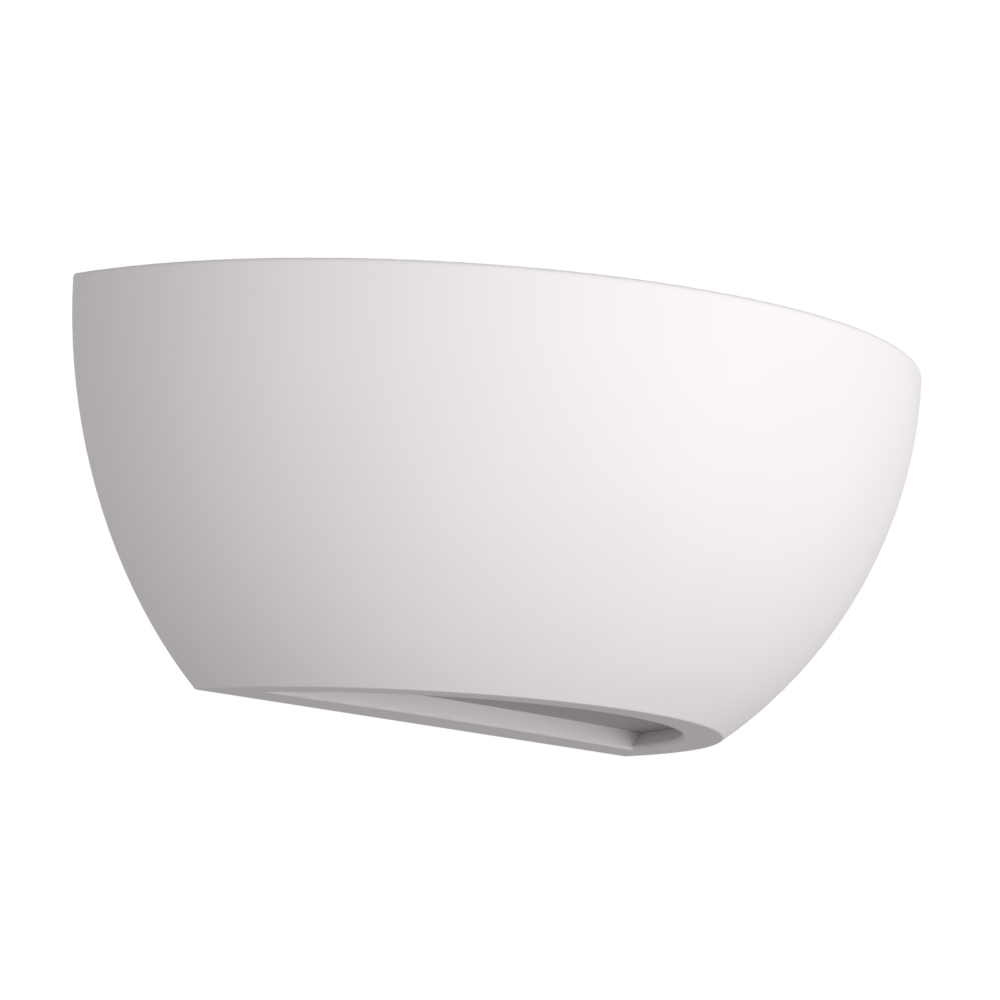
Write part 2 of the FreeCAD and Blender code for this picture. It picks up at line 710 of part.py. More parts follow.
def make_grommet():
    """The cable entry's grommet: a collar in front of the plate and a sleeve through it."""
    body = new_body("cable_grommet")
    collar = "cable_hole + grommet_flange"
    section = outline(
        new_sketch(body, "grommet_section", "XY_Plane"),
        [
            ("cable_bore", "0"),
            ("cable_bore", "-plate_thickness - grommet_collar"),
            (f"{collar} - grommet_edge", "-plate_thickness - grommet_collar"),
            (collar, "-plate_thickness - grommet_collar + grommet_edge"),
            (collar, "-plate_thickness"),
            ("cable_hole - fit", "-plate_thickness"),
            ("cable_hole - fit", "0"),
        ],
    )
    turned(section, "Revolution", "V_Axis")
    return place(body, z="cable_level")


# ---------------------------------------------------------------- terminal block


def make_terminal_block():
    """Three barrels on a thin web, cut for the inserts, their screws and two fixing screws."""
    body = new_body("terminal_block")
    low = "block_level - block_height / 2"
    web = new_sketch(body, "block_web", "XY_Plane", low)
    half = "way_pitch + way_radius + block_margin"
    rectangle(web, f"-({half})", "-plate_thickness - block_base", half, "-plate_thickness")
    pad(web, "block_height")
    barrel = outline(
        new_sketch(body, "block_barrel", "XY_Plane", low),
        [
            ("-way_pitch - way_radius", "-plate_thickness - block_base / 2"),
            ("-way_pitch - way_radius", "-block_front + way_corner", "way_corner", 1),
            ("-way_pitch - way_radius + way_corner", "-block_front"),
            ("-way_pitch + way_radius - way_corner", "-block_front", "way_corner", 1),
            ("-way_pitch + way_radius", "-block_front + way_corner"),
            ("-way_pitch + way_radius", "-plate_thickness - block_base / 2"),
        ],
    )
    row_of(pad(barrel, "block_height"), 3, "way_pitch")
    bore = new_sketch(body, "way_bore", "XY_Plane", low)
    circle(bore, "-way_pitch", "-way_face", "insert_radius + fit")
    row_of(pocket(bore, "block_height", along_normal=True), 3, "way_pitch")
    wells = new_sketch(body, "screw_wells", "XZ_Plane", "way_face")
    for side in ("-", "+"):
        level = f"block_level {side} clamp_spacing / 2"
        circle(wells, "-way_pitch", level, "clamp_screw + clamp_play")
    row_of(pocket(wells, "block_depth", along_normal=True), 3, "way_pitch")
    fixings = new_sketch(body, "fixing_holes", "XZ_Plane", "plate_thickness")
    for side in ("-", ""):
        circle(fixings, f"{side}way_pitch / 2", "block_level", "fixing_screw + 2 * fit")
    pocket(fixings, "block_depth", along_normal=True)
    heads = new_sketch(body, "head_wells", "XZ_Plane", "plate_thickness + block_base")
    for side in ("-", ""):
        circle(heads, f"{side}way_pitch / 2", "block_level", "screw_head + head_play")
    pocket(heads, "block_depth", along_normal=True)
    return body


def make_insert():
    """A brass tube with two threaded holes for its clamping screws."""
    body = new_body("insert_shape")
    ring = new_sketch(body, "insert_ring", "XY_Plane", "insert_inset - block_height / 2")
    circle(ring, "0", "0", "insert_radius")
    circle(ring, "0", "0", "insert_bore")
    pad(ring, "block_height - 2 * insert_inset")
    taps = new_sketch(body, "insert_taps", "XZ_Plane")
    for side in ("-", ""):
        circle(taps, "0", f"{side}clamp_spacing / 2", "clamp_screw + fit")
    pocket(taps, "way_radius", along_normal=True)
    return body


def make_clamp_screw():
    """A slotted grub screw along -Y, from the wire to just inside the barrel."""
    body = new_body("clamp_screw_shape")
    rod = new_sketch(body, "clamp_rod", "XZ_Plane", "wire_radius + fit")
    circle(rod, "0", "0", "clamp_screw")
    pad(rod, "block_depth - way_depth - wire_radius - clamp_inset")
    floor = "block_depth - way_depth - clamp_slot_floor"
    cut = new_sketch(body, "clamp_driver_slot", "XZ_Plane", floor)
    rectangle(cut, "-2 * clamp_screw", "-clamp_slot", "2 * clamp_screw", "clamp_slot")
    pocket(cut, "clamp_slot_floor", along_normal=True)
    return body


def make_pan_screw(name, length):
    """A slotted pan-head screw: the head's seat is at the origin, the shank goes towards +Y."""
    body = new_body(name)
    section = outline(
        new_sketch(body, name + "_section", "XY_Plane"),
        [
            ("0", length),
            ("0", "-screw_head_height"),
            ("screw_head - screw_head_round", "-screw_head_height", "screw_head_round", 1),
            ("screw_head", "-screw_head_height + screw_head_round"),
            ("screw_head", "0"),
            ("fixing_screw", "0"),
            ("fixing_screw", f"{length} - screw_lead"),
            ("fixing_screw - screw_lead", length),
        ],
    )
    turned(section, "Revolution", "V_Axis")
    cut = new_sketch(body, name + "_slot", "XZ_Plane", "screw_head_height - screw_slot_depth")
    rectangle(cut, "-2 * screw_head", "-screw_slot", "2 * screw_head", "screw_slot")
    pocket(cut, "screw_head_height", along_normal=True)
    return body


# ---------------------------------------------------------------- lamp carriage


def make_carriage():
    """A folded channel: its back bears on the shell and its two ears carry the lampholders."""
    body = new_body("lamp_carriage")
    reach = "axis_depth + ear_front"
    section = channel(
        "ear_inner + sheet_thickness",
        f"{reach} - back_wall",
        "sheet_thickness",
        "sheet_bend",
        lambda a, d: (a, f"-back_wall - {d}"),
        -1,
    )
    profile = outline(
        new_sketch(body, "carriage_section", "XY_Plane", "-carriage_half_height"), section
    )
    pad(profile, "2 * carriage_half_height")
    outside = "ear_inner + sheet_thickness + overrun"
    root = "-carriage_front - ear_root"
    for name, edge, front in (
        ("ear_top_cut", "carriage_half_height", "axis_level + ear_top"),
        ("ear_low_cut", "-carriage_half_height", "axis_level - ear_drop"),
    ):
        ear_end, beyond = f"-({reach})", f"-({reach}) - overrun"
        cut = outline(
            new_sketch(body, name, "YZ_Plane", outside),
            [(root, edge), (ear_end, front), (beyond, front), (beyond, edge)],
        )
        pocket(cut, f"2 * ({outside})")
    back = new_sketch(body, "back_holes", "XZ_Plane", "back_wall")
    for side in ("-", ""):
        circle(back, f"{side}stud_offset", "0", "stud_radius + stud_play")
    for column in ("-way_pitch", "0", "way_pitch"):
        circle(back, column, "bush_level", "bush_neck + fit")
    circle(back, "0", "tag_level", "fixing_screw + fit")
    pocket(back, "sheet_thickness", along_normal=True)
    ears = new_sketch(body, "ear_holes", "YZ_Plane", outside)
    circle(ears, "-tab_middle", "axis_level", "rivet_radius + fit")
    for side in ("-", "+"):
        where = f"-axis_depth {side} holder_screw_y"
        circle(ears, where, "axis_level - holder_screw_z", "fixing_screw + fit")
    pocket(ears, f"2 * ({outside})")
    front = size(reach)

    def corner_edge(edge):
        box = edge.BoundBox
        at_front = abs(box.YMin + front) < 1e-3 and abs(box.YMax + front) < 1e-3
        return at_front and box.ZLength < 1e-3

    soften(body, "ear_corners", "Fillet", corner_edge, "ear_corner")
    return body


def make_bush():
    """A silicone bush: a neck in the sheet between two lips, round the wire."""
    body = new_body("bush_shape")
    lip = "bush_neck + bush_flange"
    section = outline(
        new_sketch(body, "bush_section", "XY_Plane"),
        [
            ("wire_radius + fit", "bush_flange"),
            ("wire_radius + fit", "-sheet_thickness - bush_flange"),
            (f"{lip} - bush_edge", "-sheet_thickness - bush_flange"),
            (lip, "-sheet_thickness - bush_flange / 2"),
            (lip, "-sheet_thickness"),
            ("bush_neck", "-sheet_thickness"),
            ("bush_neck", "0"),
            (lip, "0"),
            (lip, "bush_flange / 2"),
            (f"{lip} - bush_edge", "bush_flange"),
        ],
    )
    turned(section, "Revolution", "V_Axis")
    return body


def make_reflector():
    """Bright sheet folded twice, with a tab at each end that is riveted to an ear."""
    body = new_body("reflector")
    sheet_shift = "reflector_sheet * tan(22.5 deg)"
    slant = "reflector_sheet * cos(45 deg)"
    face, rear = "-reflector_face", "-reflector_face + reflector_sheet"
    tip = "-reflector_face - reflector_wing"
    high = "axis_level + reflector_half"
    low = "axis_level - reflector_half"
    section = outline(
        new_sketch(body, "reflector_section", "YZ_Plane", "-reflector_end"),
        [
            (face, low),
            (face, high),
            (tip, f"{high} + reflector_wing"),
            (f"{tip} + {slant}", f"{high} + reflector_wing + {slant}"),
            (rear, f"{high} + {sheet_shift}"),
            (rear, f"{low} - {sheet_shift}"),
            (f"{tip} + {slant}", f"{low} - reflector_wing - {slant}"),
            (tip, f"{low} - reflector_wing"),
        ],
    )
    pad(section, "2 * reflector_end")
    for name, start in (
        ("left_tab", "-reflector_end"),
        ("right_tab", "reflector_end - reflector_sheet"),
    ):
        tab = new_sketch(body, name, "YZ_Plane", start)
        front = "-reflector_face - reflector_tab"
        low_edge, high_edge = "axis_level - reflector_tab_half", "axis_level + reflector_tab_half"
        rectangle(tab, front, low_edge, "-reflector_face + reflector_sheet / 2", high_edge)
        pad(tab, "reflector_sheet")
    holes = new_sketch(body, "rivet_holes", "YZ_Plane", "reflector_end + overrun")
    circle(holes, "-tab_middle", "axis_level", "rivet_radius + fit")
    pocket(holes, "2 * (reflector_end + overrun)")
    return body


def make_rivet():
    """A rivet through tab and ear, along +X: the domed head is inside, the set end outside."""
    body = new_body("rivet_shape")
    grip = "reflector_sheet + reflector_clearance + sheet_thickness"
    section = outline(
        new_sketch(body, "rivet_section", "XY_Plane"),
        [
            ("-rivet_head_height", "0"),
            (f"{grip} + rivet_head_height", "0"),
            (f"{grip} + rivet_head_height", "rivet_radius"),
            (grip, "rivet_slope"),
            (grip, "rivet_radius"),
            ("0", "rivet_radius"),
            ("0", "rivet_head"),
            ("-rivet_head_height / 2", "rivet_slope"),
            ("-rivet_head_height", "rivet_head / 2"),
        ],
    )
    turned(section, "Revolution", "H_Axis")
    return body


# ---------------------------------------------------------------- lampholders
# A holder's own frame has its face at x = 0 on the lamp's axis, and the lamp is towards +x.


def make_holder(label):
    """A ceramic block with a cradle for the lamp's end, a spring chamber and a tag slot."""
    body = new_body(label)
    block = new_sketch(body, label + "_block", "YZ_Plane", "-holder_length")
    rounded(block, "0", "0", "holder_half_width", "holder_half_height", "holder_corner")
    pad(block, "holder_length")
    cradle = outline(
        new_sketch(body, label + "_cradle", "YZ_Plane", "-overrun"),
        [
            ("cradle_bore + cradle_wall", "cradle_top"),
            ("cradle_bore", "cradle_top"),
            ("cradle_bore", "0", "cradle_bore", -1),
            ("0", "-cradle_bore", "cradle_bore", -1),
            ("-cradle_bore", "0"),
            ("-cradle_bore", "cradle_top"),
            ("-cradle_bore - cradle_wall", "cradle_top"),
            ("-cradle_bore - cradle_wall", "0", "cradle_bore + cradle_wall", 1),
            ("0", "-cradle_bore - cradle_wall", "cradle_bore + cradle_wall", 1),
            ("cradle_bore + cradle_wall", "0"),
        ],
    )
    pad(cradle, "cradle_length + overrun")
    pin = new_sketch(body, label + "_pin_bore", "YZ_Plane", "overrun")
    circle(pin, "0", "0", "contact_radius + chamber_fit")
    pocket(pin, "holder_length")
    chamber = new_sketch(body, label + "_chamber", "YZ_Plane", "-face_wall")
    circle(chamber, "0", "0", "chamber_radius")
    pocket(chamber, "holder_length")
    tongue = new_sketch(body, label + "_tag_slot", "XY_Plane")
    back, front = "-plug_face - fit", "-tag_face + fit"
    rectangle(tongue, back, "-tongue_width / 2 - fit", front, "tongue_width / 2 + fit")
    pocket(tongue, "holder_half_height + overrun")
    screw_end = "-holder_length + holder_screw_depth"
    screws = new_sketch(body, label + "_screw_holes", "YZ_Plane", screw_end)
    for side in ("-", ""):
        circle(screws, f"{side}holder_screw_y", "-holder_screw_z", "fixing_screw + fit")
    pocket(screws, "holder_length")
    return body


def make_plunger():
    """The sprung contact: a domed pin, a collar that stops it in the chamber, and a tail."""
    body = new_body("contact_plunger")
    tip = "spring_gap + recess_depth - contact_touch"
    collar = "-face_wall - preload"
    tail = f"{collar} - collar_thickness"
    section = outline(
        new_sketch(body, "plunger_section", "XY_Plane"),
        [
            (tip, "0"),
            (f"{tail} - guide_length", "0"),
            (f"{tail} - guide_length", "guide_radius"),
            (tail, "guide_radius"),
            (tail, "chamber_radius - 2 * chamber_fit"),
            (collar, "chamber_radius - 2 * chamber_fit"),
            (collar, "contact_radius"),
            (f"{tip} - contact_dome", "contact_radius", "dome_arc", -1),
        ],
    )
    turned(section, "Revolution", "H_Axis")
    return body


def make_fixed_contact():
    """The fixed contact: a domed pin on a plug that fills the chamber."""
    body = new_body("fixed_contact")
    tip = "end_gap + recess_depth - contact_touch"
    section = outline(
        new_sketch(body, "fixed_section", "XY_Plane"),
        [
            (tip, "0"),
            ("-tag_face", "0"),
            ("-tag_face", "chamber_radius - chamber_fit"),
            ("-face_wall", "chamber_radius - chamber_fit"),
            ("-face_wall", "contact_radius"),
            (f"{tip} - contact_dome", "contact_radius", "dome_arc", -1),
        ],
    )
    turned(section, "Revolution", "H_Axis")
    return body


def make_end_plug():
    body = new_body("plug_shape")
    disc = new_sketch(body, "plug_disc", "YZ_Plane", "-holder_length")
    circle(disc, "0", "0", "chamber_radius - fit")
    pad(disc, "plug_thickness")
    return body


def make_contact_tag():
    """A brass disc in the chamber with a tongue down to the wire."""
    body = new_body("tag_shape")
    disc = new_sketch(body, "tag_disc", "YZ_Plane", "-plug_face")
    circle(disc, "0", "0", "chamber_radius - fit")
    pad(disc, "tag_thickness")
    tongue = new_sketch(body, "tag_tongue", "YZ_Plane", "-plug_face")
    half = "tongue_width / 2"
    rectangle(tongue, f"-{half}", "-holder_half_height - tongue_reach", half, "0")
    pad(tongue, "tag_thickness")
    return body


def corner_arc(enter, corner, leave):
    """The arc that leaves enter towards the corner and comes to leave from it, both as far off."""
    back, on = (enter - corner).normalize(), (leave - corner).normalize()
    half_turn = (math.pi - back.getAngle(on)) / 2
    bend = (enter - corner).Length / math.tan(half_turn)
    centre = corner + (back + on).normalize() * (bend / math.cos(half_turn))
    middle = centre + (corner - centre).normalize() * bend
    return Part.Arc(enter, middle, leave).toShape(), bend


def biarc(start, leaving, end, arriving):
    """Two tangent arcs from start to end along two directions, their corners as far off."""
    span = end - start
    both = leaving + arriving
    square, line = 2 * (1 - leaving.dot(arriving)), 2 * span.dot(both)
    reach = 2 * span.dot(span) / (line + math.sqrt(line**2 + 4 * square * span.dot(span)))
    first, second = start + leaving * reach, end - arriving * reach
    meeting = (first + second) * 0.5
    return [corner_arc(start, first, meeting)[0], corner_arc(meeting, second, end)[0]]


def make_spring():
    """The contact spring: one round wire on a helix, its ends closed against collar and tag."""
    radius, wire = size("spring_radius"), size("spring_wire")
    start = -size("face_wall + preload + collar_thickness") - wire
    length = size("tag_face - face_wall - preload - collar_thickness") - 2 * wire
    closed, turns = 1.0, 5.5
    closed_rise = 2.2 * wire
    open_turns = turns - 2 * closed
    open_rise = (length - 2 * closed_rise) / open_turns

    def along(turn):
        if turn < closed:
            return turn * closed_rise
        if turn < turns - closed:
            return closed * closed_rise + (turn - closed) * open_rise
        return length - (turns - turn) * closed_rise

    def point(turn):
        angle = 2 * math.pi * turn
        return Vector(start - along(turn), radius * math.cos(angle), radius * math.sin(angle))

    def heading(turn):
        return (point(turn + 1e-4) - point(turn - 1e-4)).normalize()

    quarters = [i / 4 for i in range(int(turns * 4) + 1)]
    arcs = []
    for a, b in zip(quarters, quarters[1:]):
        arcs += biarc(point(a), heading(a), point(b), heading(b))
    ring = Part.Wire(Part.Circle(point(0), heading(0), wire).toShape())
    solid = Part.Wire(arcs).makePipeShell([ring], True, False)
    rows = [[point(t / 24) for t in range(n * 24, (n + 1) * 24)] for n in range(int(turns))]
    gaps = [min((a - b).Length for a in rows[n] for b in rows[n + 1]) for n in range(len(rows) - 1)]
    print("spring: least gap between turns", round(min(gaps[1:-1]) - 2 * wire, 2), "mm")
    return free_shape("contact_spring", solid)


def free_shape(label, solid):
    """A piece whose shape is worked out here and not by a feature."""
    thing = doc.addObject("Part::Feature", label)
    thing.Label = label
    thing.Shape = solid
    return thing


# ---------------------------------------------------------------- the lamp
# The lamp's own frame has its middle at x = 0.


def make_lamp_tube():
    """Quartz: a closed round tube with flat pinched ends, and the nib where it was sealed."""
    body = new_body("lamp_tube")
    shoulder = "(tube_radius - pinch_thickness / 2)"
    section = outline(
        new_sketch(body, "tube_section", "XY_Plane"),
        [
            ("-tube_half - seal_length", "0"),
            ("-tube_half - seal_length", "pinch_thickness / 2"),
            (f"-tube_half + {shoulder}", "tube_radius"),
            (f"tube_half - {shoulder}", "tube_radius"),
            ("tube_half + seal_length", "pinch_thickness / 2"),
            ("tube_half + seal_length", "0"),
            ("tube_half - tube_wall", "0"),
            (f"tube_half - {shoulder} - tube_wall", "tube_radius - tube_wall"),
            (f"-tube_half + {shoulder} + tube_wall", "tube_radius - tube_wall"),
            ("-tube_half + tube_wall", "0"),
        ],
    )
    turned(section, "Revolution", "H_Axis")
    for name, start in (("left_pinch", "-tube_half - pinch_length"), ("right_pinch", "tube_half")):
        pinch = new_sketch(body, name, "YZ_Plane", start)
        half_width, half = "pinch_width / 2", "pinch_thickness / 2"
        rounded(pinch, "0", "0", half_width, half, "pinch_thickness / 4")
        pad(pinch, "pinch_length")
    nib = new_sketch(body, "seal_nib", "XY_Plane", "tube_radius - tube_wall / 2")
    circle(nib, "nib_offset", "0", "nib_radius")
    pad(nib, "nib_height + tube_wall / 2")
    return body


def make_lamp_cap():
    """A ceramic end: round, with the pinch's slot inside and the contact recess outside."""
    body = new_body("cap_shape")
    inner_end = "recess_depth + contact_disc - cap_length"
    section = outline(
        new_sketch(body, "cap_section", "XY_Plane"),
        [
            ("0", "0"),
            (inner_end, "0"),
            (inner_end, "cap_radius - cap_edge"),
            (f"{inner_end} + cap_edge", "cap_radius"),
            ("recess_depth + contact_disc - cap_edge", "cap_radius"),
            ("recess_depth + contact_disc", "cap_radius - cap_edge"),
            ("recess_depth + contact_disc", "recess_radius"),
            ("0", "recess_radius"),
        ],
    )
    turned(section, "Revolution", "H_Axis")
    slot_plan = new_sketch(body, "cap_slot", "YZ_Plane", inner_end)
    half_width, half = "pinch_width / 2 + fit", "pinch_thickness / 2 + fit"
    rounded(slot_plan, "0", "0", half_width, half, "pinch_thickness / 4")
    pocket(slot_plan, "pinch_in_cap + fit", along_normal=True)
    return body


def make_lamp_contact():
    body = new_body("lamp_contact_shape")
    disc = new_sketch(body, "contact_plan", "YZ_Plane")
    circle(disc, "0", "0", "recess_radius - fit")
    pad(disc, "contact_disc")
    return body


def make_filament():
    """The filament's outer form as a straight rod, held by rings that touch the tube's wall."""
    inner = size("tube_radius - tube_wall - fit")
    half = size("tube_half - tube_wall - filament_radius")
    wire = size("support_wire")
    axis = Vector(1, 0, 0)
    parts = [Part.makeCylinder(size("filament_radius"), 2 * half, Vector(-half, 0, 0), axis)]
    pitch = 2 * half / (FILAMENT_RINGS + 1)
    for ring in range(FILAMENT_RINGS):
        where = Vector((ring + 1) * pitch - half, 0, 0)
        parts.append(Part.makeTorus(inner - wire, wire, where, axis))
        spoke = Vector(where.x, 0, -inner + wire)
        parts.append(Part.makeCylinder(wire, inner - wire, spoke, Vector(0, 0, 1)))
    return free_shape("lamp_filament", parts[0].multiFuse(parts[1:]).removeSplitter())


# ---------------------------------------------------------------- internal wires


def make_wire(label, points):
    """A sleeved wire: straight runs with a tangent arc at each corner, as large as its runs allow."""
    radius = size("wire_radius")
    edges, at, least = [], points[0], 1e9
    for before, corner, after in zip(points, points[1:], points[2:]):
        back, on = before - corner, after - corner
        reach = 0.45 * min(back.Length, on.Length)
        enter = corner + back.normalize() * reach
        leave = corner + on.normalize() * reach
        arc, bend = corner_arc(enter, corner, leave)
        least = min(least, bend)
        edges.append(Part.LineSegment(at, enter).toShape())
        edges.append(arc)
        at = leave
    edges.append(Part.LineSegment(at, points[-1]).toShape())
    path = Part.Wire(edges)
    ring = Part.Wire(Part.Circle(points[0], points[1] - points[0], radius).toShape())
    solid = path.makePipeShell([ring], True, False)
    share = solid.Volume / (math.pi * radius**2 * path.Length)
    print(f"{label}: length {path.Length:.1f} mm, least bend {least:.1f} mm, volume share {share:.4f}")
    return free_shape(label, solid)


def lead_route(side):
    """From a terminal through its bush, behind and under the reflector, up to a holder's tag."""
    way = size("way_pitch") * side
    tag = size("holder_face + plug_face - tag_thickness / 2") * side
    depth, level = size("axis_depth"), size("axis_level")
    start = size("block_top - strip_length")
    end = level - size("holder_half_height + tongue_reach")
    behind = -size("reflector_face - lead_behind")
    under = level - size("reflector_half + reflector_wing + lead_under")
    turn = size("lead_turn")
    return [
        Vector(way, -size("way_face"), start),
        Vector(way, -size("way_face"), size("bush_level")),
        Vector(way, behind, size("bush_level")),
        Vector(size("lead_near") * side, behind + size("lead_bow"), size("lead_near_level")),
        Vector(size("lead_far") * side, behind, size("lead_far_level")),
        Vector(tag - size("lead_short") * side, behind - size("lead_under"), under),
        Vector(tag, turn - depth, under - size("lead_dip")),
        Vector(tag, -depth, under + turn),
        Vector(tag, -depth, end),
    ]


def earth_route():
    """From the middle terminal through its bush and down to the carriage's earth tag."""
    end = size("tag_level + crimp_start + crimp_inset")
    return [
        Vector(0, -size("way_face"), size("block_top - strip_length")),
        Vector(0, -size("way_face"), size("bush_level")),
        Vector(0, -size("earth_front"), size("bush_level")),
        Vector(0, -size("earth_middle"), size("earth_middle_level")),
        Vector(0, -size("tag_line"), end + size("earth_end_run")),
        Vector(0, -size("tag_line"), end),
    ]


def make_earth_tag():
    """A crimped ring tag: a flat ring under the screw and a barrel round the wire's end."""
    body = new_body("earth_tag")
    front = "carriage_front"
    ring = new_sketch(body, "tag_ring", "XZ_Plane", front)
    circle(ring, "0", "tag_level", "screw_head + ring_margin")
    circle(ring, "0", "tag_level", "fixing_screw + fit")
    pad(ring, "tag_thickness")
    neck = new_sketch(body, "tag_neck", "XZ_Plane", front)
    half, end = "wire_radius + fit", "tag_level + crimp_start + crimp_length"
    rectangle(neck, f"-({half})", "tag_level + screw_head", half, end)
    pad(neck, "tag_thickness")
    barrel = new_sketch(body, "tag_barrel", "XY_Plane", "tag_level + crimp_start")
    circle(barrel, "0", "-tag_line", "wire_radius + crimp_wall")
    circle(barrel, "0", "-tag_line", "wire_radius + fit")
    pad(barrel, "crimp_length")
    return body


# ---------------------------------------------------------------- assembly

shell = make_shell()
pane = make_pane()
wall_plate = make_wall_plate()
grommet = make_grommet()

stud = make_stud("plate_stud_shape", "stud_length")
stud_places = [(f"{side}stud_offset",) for side in ("-", "")]
plate_studs = copies("plate_studs", stud, stud_places)
washer_shape = make_washer()
washer_places = [(f"{side}stud_offset", "-carriage_front") for side in ("-", "")]
washers = copies("carriage_washers", washer_shape, washer_places)
nut_shape = make_thumb_nut()
nut_line = "-carriage_front - washer_thickness"
thumb_nuts = copies("thumb_nuts", nut_shape, [(f"{s}stud_offset", nut_line) for s in ("-", "")])

earth_stud = place(make_stud("earth_stud", "earth_stud_length"), x="earth_x", z="earth_level")
earth_washers = copies(
    "earth_washers",
    washer_shape,
    [
        ("earth_x", "-plate_thickness", "earth_level"),
        ("earth_x", "-plate_thickness - washer_thickness", "earth_level"),
    ],
)
earth_nut = place(
    make_hex_nut("earth_nut", "hex_nut", "hex_nut_height", "stud_radius + fit"),
    x="earth_x",
    y="-plate_thickness - 2 * washer_thickness",
    z="earth_level",
)

block = make_terminal_block()
ways = ("-way_pitch", "0", "way_pitch")
insert_places = [(way, "-way_face", "block_level") for way in ways]
inserts = copies("terminal_inserts", make_insert(), insert_places)
clamp_places = [
    (way, "-way_face", f"block_level {side} clamp_spacing / 2") for way in ways for side in "-+"
]
clamp_screws = copies("terminal_screws", make_clamp_screw(), clamp_places)
block_screw = make_pan_screw("block_screw_shape", "plate_thickness + block_base")
fixing_places = [
    (f"{side}way_pitch / 2", "-plate_thickness - block_base", "block_level") for side in ("-", "")
]
block_screws = copies("terminal_fixing_screws", block_screw, fixing_places)

carriage = make_carriage()
bush_places = [(way, "-back_wall", "bush_level") for way in ways]
bushes = copies("wire_bushes", make_bush(), bush_places)
reflector = make_reflector()
tab_inside = "reflector_end - reflector_sheet"
rivets = copies(
    "reflector_rivets",
    make_rivet(),
    [
        (tab_inside, "-tab_middle", "axis_level"),
        (f"-({tab_inside})", "-tab_middle", "axis_level", Vector(0, 0, 1), 180),
    ],
)

UP = Vector(0, 0, 1)
left = ("-holder_face", "-axis_depth", "axis_level", UP, 0)
right = ("holder_face", "-axis_depth", "axis_level", UP, 180)
sprung_holder = place(make_holder("sprung_lampholder"), *left)
fixed_holder = place(make_holder("fixed_lampholder"), *right)
plunger = place(make_plunger(), *left)
spring = place(make_spring(), *left)
fixed_contact = place(make_fixed_contact(), *right)
end_plugs = copies("holder_end_plugs", make_end_plug(), [left, right])
contact_tags = copies("contact_tags", make_contact_tag(), [left, right])
holder_grip = "sheet_thickness + holder_screw_depth - screw_room"
holder_screw = make_pan_screw("holder_screw_shape", holder_grip)
screw_places = []
for side, angle in (("-", -90), ("", 90)):
    for row in ("-", "+"):
        outside = f"{side}(ear_inner + sheet_thickness)"
        row_y = f"-axis_depth {row} holder_screw_y"
        screw_places.append((outside, row_y, "axis_level - holder_screw_z", UP, angle))
holder_screws = copies("lampholder_screws", holder_screw, screw_places)

lamp_place = ("lamp_offset", "-axis_depth", "axis_level")
lamp_tube = place(make_lamp_tube(), *lamp_place)
filament = place(make_filament(), *lamp_place)
recess = "lamp_length / 2 - recess_depth - contact_disc"
cap_places = [
    (f"lamp_offset + {recess}", "-axis_depth", "axis_level", UP, 0),
    (f"lamp_offset - ({recess})", "-axis_depth", "axis_level", UP, 180),
]
lamp_caps = copies("lamp_caps", make_lamp_cap(), cap_places)
lamp_contacts = copies("lamp_contacts", make_lamp_contact(), cap_places)

live_wire = make_wire("live_wire", lead_route(-1))
neutral_wire = make_wire("neutral_wire", lead_route(1))
earth_wire = make_wire("earth_wire", earth_route())
earth_tag = make_earth_tag()
tag_screw_place = {"y": "-carriage_front - tag_thickness", "z": "tag_level"}
tag_grip = "tag_thickness + sheet_thickness + small_nut_height + screw_past_nut"
tag_screw = make_pan_screw("earth_tag_screw", tag_grip)
place(tag_screw, **tag_screw_place)
tag_nut = make_hex_nut("earth_tag_nut", "small_nut", "small_nut_height", "fixing_screw + fit")
place(tag_nut, y="-back_wall + small_nut_height", z="tag_level")

NODES = (
    shell, pane, wall_plate, grommet, plate_studs, washers, thumb_nuts,
    earth_stud, earth_washers, earth_nut, block, inserts, clamp_screws, block_screws,
    carriage, bushes, reflector, rivets,
    sprung_holder, fixed_holder, plunger, spring, fixed_contact, end_plugs, contact_tags,
    holder_screws, lamp_tube, filament, lamp_caps, lamp_contacts,
    live_wire, neutral_wire, earth_wire, earth_tag, tag_screw, tag_nut,
)

doc.recompute()
for thing in doc.Objects:
    if "Invalid" in thing.State or "Error" in thing.State:
        raise ValueError(f"{thing.Name} did not compute: {thing.State}")
for node in NODES:
    if node.Shape.isNull() or not node.Shape.isValid() or not node.Shape.Solids:
        raise ValueError(f"{node.Label} has no valid solid")

os.makedirs("parts", exist_ok=True)
for node in NODES:
    node.Shape.exportStep(f"parts/{node.Label}.step")
print(len(NODES), "nodes,", sum(len(n.Shape.Solids) for n in NODES), "solids")
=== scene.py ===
# %% [markdown]
# # A plaster wall uplighter
#
# The object is half of a round bowl, cast in plaster and fixed flat against a wall. It is open
# above, and a frosted glass pane closes the opening in its bottom. Inside, a linear lamp lies
# between two ceramic holders in front of a bright reflector.
#
# The solids come from the CAD model. This file gives each of them its finish, winds the lamp's
# filament and the contact spring anew, and sets up the camera and the light.

# %% Load the solids
import math
import bpy
import numpy as np
from mathutils import Matrix, Vector


